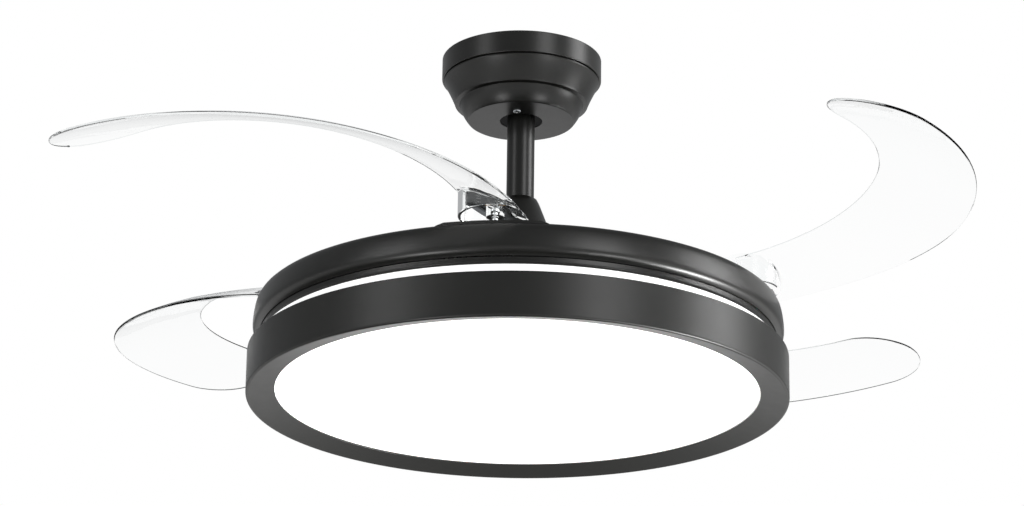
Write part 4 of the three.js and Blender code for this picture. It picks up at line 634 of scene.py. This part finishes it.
base = soften([
    (BASE_BORE_R, BASE_TOP - BASE_SHEET, 0.2), (BASE_R - BASE_SHEET, BASE_TOP - BASE_SHEET, 1.8),
    (BASE_R - BASE_SHEET, BASE_BOTTOM, 0.3), (BASE_R, BASE_BOTTOM, 0.3), (BASE_R, BASE_TOP, 1.1),
    (BASE_BORE_R, BASE_TOP, 0.2),
], 0.3, steps=6)
# The pan's enamel carries a painted glow, so that the pan shows white in the shade under the drum.
keep(turned("lamp_pan", base, WHITE_ENAMEL_PAINTED_GLOW, LARGE_TURN), "hanging_frame", "white_paint", "lamp_base")

hoop = soften([
    (HOOP_R - HOOP_WALL, HOOP_TOP, 0.5), (HOOP_R, HOOP_TOP, 1.5), (HOOP_R, HOOP_BOTTOM, 2.2),
    (BEZEL_R, BEZEL_INNER - BEZEL_EDGE, 0.5), (BEZEL_R, BEZEL_INNER, 0.4),
    (HOOP_R - HOOP_WALL, HOOP_BOTTOM + HOOP_WALL, 1.0),
    (HOOP_R - HOOP_WALL, LEDGE_TOP - LEDGE, 0.2), (LEDGE_R, LEDGE_TOP - LEDGE, 0.2),
    (LEDGE_R, LEDGE_TOP, 0.2), (HOOP_R - HOOP_WALL, LEDGE_TOP, 0.2),
], 0.3, steps=6)
keep(turned("lamp_black_hoop", hoop, HOOP_BLACK, LARGE_TURN), "hanging_frame", "black_paint", "lamp_hoop")

opal = soften([
    (0, OPAL_FACE, 0), (OPAL_R, OPAL_FACE, 2.4), (OPAL_R, OPAL_TOP, 0.4), (OPAL_R - OPAL_WALL, OPAL_TOP, 0.4),
    (OPAL_R - OPAL_WALL, OPAL_FACE + OPAL_WALL, 1.6), (0, OPAL_FACE + OPAL_WALL, 0),
], 0.4)
keep(turned("opal_cover", opal, OPAL, LARGE_TURN), "hanging_frame", "opal_acrylic", "diffuser")

# ---------------------------------------------------------------------------
# Blades
# ---------------------------------------------------------------------------


def eased(stations, t):
    """Smooth value between (place, value) stations."""
    for (t0, v0), (t1, v1) in zip(stations, stations[1:]):
        if t <= t1:
            s = (t - t0) / (t1 - t0)
            return v0 + (v1 - v0) * s * s * (3 - 2 * s)
    return stations[-1][1]


def blade_section(t):
    """One closed section at a share t of the length: the top from the leading to the trailing edge, then
    back underneath. Each row has two points near each edge and the rest closer together outwards."""
    start = math.radians(BLADE_HEADING_DEG)
    heading = start - BLADE_LENGTH * t / BLADE_ARC_R
    x = BLADE_ARC_R * (math.sin(start) - math.sin(heading))
    y = BLADE_ARC_R * (math.cos(heading) - math.cos(start))
    z = BLADE_RISE * (2 * t - t * t)
    pitch = math.radians(ROOT_PITCH_DEG + (TIP_PITCH_DEG - ROOT_PITCH_DEG) * t)
    end = 1.0 if t < TIP_START else math.sqrt(max(0.0, 1 - ((t - TIP_START) / (1 - TIP_START)) ** 2))
    outer = end * eased([(0, ROOT_HALF), (0.5, OUTER_HALF), (1, OUTER_TIP_HALF)], t)
    inner = end * eased([(0, ROOT_HALF), (0.5, INNER_HALF), (1, INNER_TIP_HALF)], t)
    toward = (math.sin(heading), -math.cos(heading))
    middle_steps = LEAF_ACROSS - 4
    middle = [-math.cos(math.pi * (k + 0.5) / middle_steps) for k in range(middle_steps)]
    first = -1 + EDGE_STEP * EDGE_ROUND / max(outer, EDGE_HALF_LEAST)
    last = 1 - EDGE_STEP * EDGE_ROUND / max(inner, EDGE_HALF_LEAST)
    shares = [-1.0, first, *middle, last, 1.0]
    points = []
    for side, row in ((1, shares), (-1, shares[::-1])):
        for share in row:
            half = outer if share < 0 else inner
            bow = BLADE_CAMBER * (1 - share ** 2) * min(1, 4 * t) * half / OUTER_HALF
            inward = min(1.0, (1 - abs(share)) * half / EDGE_ROUND)
            thick = BLADE_EDGE + (BLADE_WALL - BLADE_EDGE) * math.sqrt(inward * (2 - inward))
            level = bow + side * thick / 2
            flat = share * half * math.cos(pitch) - level * math.sin(pitch)
            up = share * half * math.sin(pitch) + level * math.cos(pitch)
            points.append((x + toward[0] * flat, y + toward[1] * flat, z + up))
    return points


def blade_leaf():
    """The leaf, with its clear faces, its leading edge and its trailing edge in materials of their own; the
    edge materials carry painted shade.
    """
    face, leading, trailing = 0, 1, 2
    places = [TIP_START * k / LEAF_BODY_STEPS for k in range(LEAF_BODY_STEPS)]
    places += [TIP_START + (1 - TIP_START) * math.sin(math.pi / 2 * k / LEAF_TIP_STEPS) * TIP_STOP
               for k in range(LEAF_TIP_STEPS + 1)]
    sections = [blade_section(t) for t in places]
    count = 2 * LEAF_ACROSS
    vertices = [p for section in sections for p in section]
    faces, kinds = [], []
    for i in range(len(sections) - 1):
        # Past this place the leading edge takes the material with the painted dark line.
        edge = leading if places[i] > PAINTED_DARK_EDGE_START else face
        for k in range(count):
            a, b = i * count + k, i * count + (k + 1) % count
            c, d = b + count, a + count
            # The triangles of the top and of the underside are split the same way, so that they run level
            faces += [(a, b, c), (a, c, d)] if k < LEAF_ACROSS else [(a, b, d), (b, c, d)]
            kinds += [trailing if k == LEAF_ACROSS - 1 else edge if k == count - 1 else face] * 2
    faces += [tuple(range(count))[::-1], tuple(range(len(vertices) - count, len(vertices)))]
    kinds += [face, leading]
    obj = mesh_object("leaf", vertices, [], faces, (CLEAR, CLEAR_EDGE_PAINTED_DARK_LINE, CLEAR_BACK_PAINTED_GREY, CLEAR_HUB))
    obj.data.polygons.foreach_set("material_index", kinds)
    return tidy_normals(obj)


def root_slab(drop):
    """Block whose top is the blade's own plane at the pivot, lowered by drop."""
    size = 4 * HUB_R
    corners = [(x, y, z) for x in (-size, size) for y in (-size, size) for z in (-2 * size - drop, -drop)]
    sides = [(0, 1, 3, 2), (4, 6, 7, 5), (0, 4, 5, 1), (2, 3, 7, 6), (0, 2, 6, 4), (1, 5, 7, 3)]
    obj = mesh_object("slab", corners, [], sides)
    slope = math.atan(2 * BLADE_RISE / BLADE_LENGTH)
    turn = (Matrix.Rotation(math.radians(BLADE_HEADING_DEG), 4, "Z") @ Matrix.Rotation(-slope, 4, "Y")
            @ Matrix.Rotation(-math.radians(ROOT_PITCH_DEG), 4, "X"))
    obj.data.transform(turn)
    return tidy_normals(obj)


def blade_body():
    """Leaf, open cup below its root, boss and bore, as one clear moulding."""
    high, below = HUB_R, -HUB_LOW - 20
    cup_line = [(0, -HUB_LOW, 0), (HUB_R, -HUB_LOW, 0.8), (HUB_R, high, 0), (0, high, 0)]
    cup = turned("cup", soften(cup_line, 0.5), CLEAR_HUB, MIDDLE_TURN)
    combined(cup, root_slab(-BLADE_THICK / 2), "INTERSECT")
    room_line = [(HUB_BOSS_R, below), (HUB_R - HUB_WALL, below), (HUB_R - HUB_WALL, high), (HUB_BOSS_R, high)]
    room = turned("room", room_line, CLEAR_HUB, MIDDLE_TURN)
    combined(room, root_slab(BLADE_THICK / 2), "INTERSECT")
    combined(cup, room, "DIFFERENCE")
    boss_line = [
        (0, -HUB_LOW, 0), (HUB_BOSS_R, -HUB_LOW, 0.5), (HUB_BOSS_R, HUB_BOSS_TOP, 0.9), (0, HUB_BOSS_TOP, 0),
    ]
    combined(cup, turned("boss", soften(boss_line, 0.5), CLEAR_HUB, 64), "UNION")
    body = blade_leaf()
    combined(body, cup, "UNION")
    bore_line = [(0, below), (BORE_R, below), (BORE_R, HEAD_ROOM_LOW), (HEAD_ROOM_R, HEAD_ROOM_LOW),
                 (HEAD_ROOM_R, 0), (0, 0)]
    combined(body, turned("bore", bore_line, CLEAR_HUB, PIN_TURN), "DIFFERENCE")
    body.data.transform(Matrix.Translation((0, 0, ROOT_Z * MM)))
    smooth_by(body, 34)
    return body


first_blade = blade_body()
pin_line = soften([
    (0, -286.5, 0), (PIN_COLLAR_R, -286.5, 0.5), (PIN_COLLAR_R, -284.5, 0.5), (PIN_R, -284.5, 0.1),
    (PIN_R, -247.5, 0.1), (PIN_COLLAR_R, -247.5, 0.4), (PIN_COLLAR_R, -245.5, 0.4), (PIN_R, -245.5, 0.1),
    (PIN_R, -231.5, 0.1), (PIN_HEAD_R, -231.5, 0.3), (PIN_HEAD_R, -228.5, 0.7), (0, -228.5, 0),
], 0.2, steps=4)
bush_line = soften([
    (BUSH_BORE_R, -254.7, 0.2), (BUSH_R, -254.7, 0.3), (BUSH_R, -249.4, 0.1), (BUSH_FLANGE_R, -249.4, 0.2),
    (BUSH_FLANGE_R, -247.8, 0.5), (BUSH_BORE_R, -247.8, 0.3),
], 0.2, steps=4)
for i in range(BLADE_COUNT):
    number = i + 1
    obj = bpy.data.objects.new(f"clear_blade_{number}", first_blade.data.copy())
    bpy.context.scene.collection.objects.link(obj)
    keep(at_pivot(obj, i), f"blade_arm_{number}", "clear_acrylic", f"blade_{number}")
    pin = at_pivot(turned(f"steel_pivot_pin_{number}", pin_line, STEEL, PIN_TURN), i)
    keep(pin, f"blade_arm_{number}", "bright_steel", f"pivot_pin_{number}")
    bush = at_pivot(turned(f"bronze_bush_{number}", bush_line, BRONZE, PIN_TURN), i)
    keep(bush, "rotor", "bronze", f"pivot_bush_{number}")
bpy.data.objects.remove(first_blade)

# ---------------------------------------------------------------------------
# Screws: one under the canopy, eight in the motor's flange, and three round each pivot's pad
# ---------------------------------------------------------------------------


def screw_blank(name, head_r, head_high, key_flat):
    """Button-head screw with a hexagon socket, its seat at the origin, its head up the Z axis."""
    dome = bezier((head_r, head_high * 0.35), (head_r * 0.86, head_high), (key_flat * 1.2, head_high), 5)
    line = [(0, -0.1, 0), (head_r * 0.97, -0.1, 0), (head_r, head_high * 0.2, 0)] + dome + [(0, head_high, 0)]
    obj = turned(name, line, ZINC, 24)
    key_r = key_flat / math.cos(math.pi / 6)
    corners = [(key_r * math.cos(math.pi / 3 * k), key_r * math.sin(math.pi / 3 * k), z)
               for z in (head_high * 0.35, head_high + 1) for k in range(6)]
    sides = [(k, (k + 1) % 6, (k + 1) % 6 + 6, k + 6) for k in range(6)]
    key = mesh_object("key", corners, [], [tuple(range(6))[::-1], tuple(range(6, 12))] + sides)
    combined(obj, tidy_normals(key), "DIFFERENCE")
    return smooth_by(obj, 40)


# Each size is the head's radius, its height, and half the width of the socket across its flats
FLOOR_SCREW, FLANGE_SCREW, PAD_SCREW = (3.6, 1.8, 1.1), (4.0, 2.2, 1.25), (2.6, 1.4, 0.95)
FLOOR_SCREW_X, FLOOR_SCREW_Y = -4.0, -27.0
FLANGE_SCREWS, FLANGE_RING_R, PAD_SCREWS, PAD_RING_R = 8, 85.0, 3, 16.0

floor_screw = screw_blank("canopy_floor_screw", *FLOOR_SCREW)
floor_screw_place = Matrix.Translation(Vector((FLOOR_SCREW_X, FLOOR_SCREW_Y, BOWL_FLOOR)) * MM)
floor_screw.data.transform(floor_screw_place @ Matrix.Rotation(math.pi, 4, "X"))
keep(floor_screw, "ceiling_mount", "zinc_steel")

flange_screws = screw_blank("motor_flange_screws", *FLANGE_SCREW)
grown(flange_screws, REPEAT, count=FLANGE_SCREWS, ring_radius=FLANGE_RING_R * MM,
      height=(MOTOR_BOTTOM + MOTOR_SHEET) * MM, first_angle=0.3, spin=1.0, seed=4, finish=ZINC)
keep(flange_screws, "rotor", "zinc_steel")

for i in range(BLADE_COUNT):
    pad_screws = screw_blank(f"pad_screws_{i + 1}", *PAD_SCREW)
    grown(pad_screws, REPEAT, count=PAD_SCREWS, ring_radius=PAD_RING_R * MM, height=PAD_TOP * MM,
          first_angle=0.5, spin=1.0, seed=10 + i, finish=ZINC)
    keep(at_pivot(pad_screws, i), "rotor", "zinc_steel")

# ---------------------------------------------------------------------------
# Finishes of the CAD pieces that stay
# ---------------------------------------------------------------------------

for finish, nodes in (
    (ZINC, ("canopy_screw_right", "canopy_screw_left", "lamp_carrier", "shaft_nut")),
    (STEEL, ("cross_pin", "clevis_pin", "motor_shaft", "upper_bearing", "lower_bearing",
             "return_spring_1", "return_spring_2", "return_spring_3", "return_spring_4")),
    (CAST, ("rod_collar",)),
    (WINDING, ("stator",)),
    (FERRITE, ("magnet_ring",)),
    (NYLON, ("sync_ring", "sector_gear_1", "sector_gear_2", "sector_gear_3", "sector_gear_4")),
    (BOARD, ("led_board",)),
    (WHITE_PLASTIC, ("led_driver",)),
):
    for node in nodes:
        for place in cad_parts[node].material_slots:
            place.link = "OBJECT"
            place.material = finish

# ---------------------------------------------------------------------------
# Studio
# ---------------------------------------------------------------------------

# Levels of the sky for plain light, for reflections and as seen, and the floor's own glow
SKY_PLAIN, SKY_IN_GLOSS, SKY_SEEN, FLOOR_GLOW = 0.7, 0.45, 1.0, 0.12
# In reflections the floor fades from its least level, straight below the fan, to full between these distances
FADE_START_M, FADE_END_M, FADE_LEAST = 7.5, 13.0, 0.06
FLOOR_Z, FLOOR_R, FLOOR_CORNERS = -6000.0, 60000.0, 64
LAMP_AIM_M = (0, 0, -0.25)


def layered(tree, plain, mirrored, white):
    """White for what the camera sees, itself or through clear stuff, one level for reflections and the
    plain level for all other light."""
    path = add(tree, "ShaderNodeLightPath")
    seen = add(tree, "ShaderNodeMath", {"operation": "MAXIMUM"}, _0=path.outputs["Is Camera Ray"],
               _1=path.outputs["Is Transmission Ray"])
    unseen = add(tree, "ShaderNodeMixShader", None, _0=path.outputs["Is Glossy Ray"], _1=plain.outputs[0],
                 _2=mirrored.outputs[0])
    return add(tree, "ShaderNodeMixShader", None, _0=seen.outputs[0], _1=unseen.outputs[0],
               _2=white.outputs[0])


world = bpy.data.worlds.new("studio")
world.use_nodes = True
bpy.context.scene.world = world
sky = world.node_tree
sky.nodes.clear()
plain_sky = add(sky, "ShaderNodeBackground", {"Color": linear("f4f6f8"), "Strength": SKY_PLAIN})
sky_in_gloss = add(sky, "ShaderNodeBackground", {"Color": linear("f4f6f8"), "Strength": SKY_IN_GLOSS})
white_sky = add(sky, "ShaderNodeBackground", {"Color": (1, 1, 1, 1), "Strength": SKY_SEEN})
mixed = layered(sky, plain_sky, sky_in_gloss, white_sky)
sky.links.new(mixed.outputs[0], add(sky, "ShaderNodeOutputWorld").inputs["Surface"])

floor_turns = [2 * math.pi * k / FLOOR_CORNERS for k in range(FLOOR_CORNERS)]
floor_rim = [(FLOOR_R * math.cos(turn), FLOOR_R * math.sin(turn), FLOOR_Z) for turn in floor_turns]
floor = mesh_object("studio_floor", floor_rim, [], [tuple(range(FLOOR_CORNERS))])
floor_paint = bpy.data.materials.new("pale_studio_floor")
floor_paint.use_nodes = True
paint = floor_paint.node_tree
paint.nodes.clear()
matt = add(paint, "ShaderNodeBsdfDiffuse", {"Color": linear("f7f7f6")})
glow = add(paint, "ShaderNodeEmission", {"Strength": FLOOR_GLOW})
both = add(paint, "ShaderNodeAddShader", None, _0=matt.outputs[0], _1=glow.outputs[0])
from_middle = add(paint, "ShaderNodeVectorMath", {"operation": "LENGTH"},
                  _0=add(paint, "ShaderNodeTexCoord").outputs["Object"])
fade = add(paint, "ShaderNodeMapRange", {"From Min": FADE_START_M, "From Max": FADE_END_M,
                                         "To Min": FADE_LEAST, "To Max": 1.0},
           Value=from_middle.outputs["Value"])
floor_in_gloss = add(paint, "ShaderNodeEmission", None, Strength=fade.outputs[0])
mixed = layered(paint, matt, floor_in_gloss, both)
paint.links.new(mixed.outputs[0], add(paint, "ShaderNodeOutputMaterial").inputs["Surface"])
floor.data.materials.append(floor_paint)


def softbox(name, azimuth_deg, elevation_deg, distance_m, width_m, height_m, watts):
    """A rectangular lamp that looks at the fan. Azimuth runs from the camera's side to the right."""
    lamp = bpy.data.lights.new(name, "AREA")
    lamp.shape = "RECTANGLE"
    lamp.size, lamp.size_y, lamp.energy = width_m, height_m, watts
    obj = bpy.data.objects.new(name, lamp)
    bpy.context.scene.collection.objects.link(obj)
    a, e = math.radians(azimuth_deg), math.radians(elevation_deg)
    away = Vector((math.sin(a) * math.cos(e), -math.cos(a) * math.cos(e), math.sin(e)))
    obj.location = Vector(LAMP_AIM_M) + away * distance_m
    obj.rotation_euler = away.to_track_quat("Z", "Y").to_euler()
    return obj


for name, azimuth, elevation, distance, width, height, watts in (
    ("right_softbox", 88, 14, 3.2, 1.3, 2.2, 66),
    ("front_right_softbox", 34, 16, 3.4, 1.1, 1.8, 36),
    ("left_softbox", -54, 14, 3.4, 1.1, 2.0, 20),
    ("low_right_softbox", 94, -44, 3.2, 0.8, 0.9, 210),
    ("low_front_right_softbox", 44, -42, 3.4, 0.8, 1.0, 40),
    ("low_left_softbox", -44, -42, 3.4, 0.8, 1.0, 36),
):
    softbox(name, azimuth, elevation, distance, width, height, watts)

# The photograph's view, from below: fitted tilt, turn and roll of the camera in radians, its place in
# metres, and its lens and film width in millimetres
TILT, YAW, ROLL = 0.344, -0.004, 0.014
CAMERA_PLACE = (0.006, -3.215, -1.346)
LENS, SENSOR = 128.57, 36.0
level = Vector((math.cos(YAW), -math.sin(YAW), 0))
ahead = Vector((math.sin(YAW) * math.cos(TILT), math.cos(YAW) * math.cos(TILT), math.sin(TILT)))
upright = Vector((-math.sin(YAW) * math.sin(TILT), -math.cos(YAW) * math.sin(TILT), math.cos(TILT)))
right = level * math.cos(ROLL) + upright * math.sin(ROLL)
up = upright * math.cos(ROLL) - level * math.sin(ROLL)
camera_data = bpy.data.cameras.new("photo_view")
camera_data.lens, camera_data.sensor_width = LENS, SENSOR
camera_data.clip_end = 200.0
camera = bpy.data.objects.new("photo_view", camera_data)
bpy.context.scene.collection.objects.link(camera)
turn = Matrix((right, up, -ahead)).transposed().to_4x4()
camera.matrix_world = Matrix.Translation(CAMERA_PLACE) @ turn
bpy.context.scene.camera = camera
bpy.context.scene.view_settings.view_transform = "Standard"

bpy.context.view_layer.update()
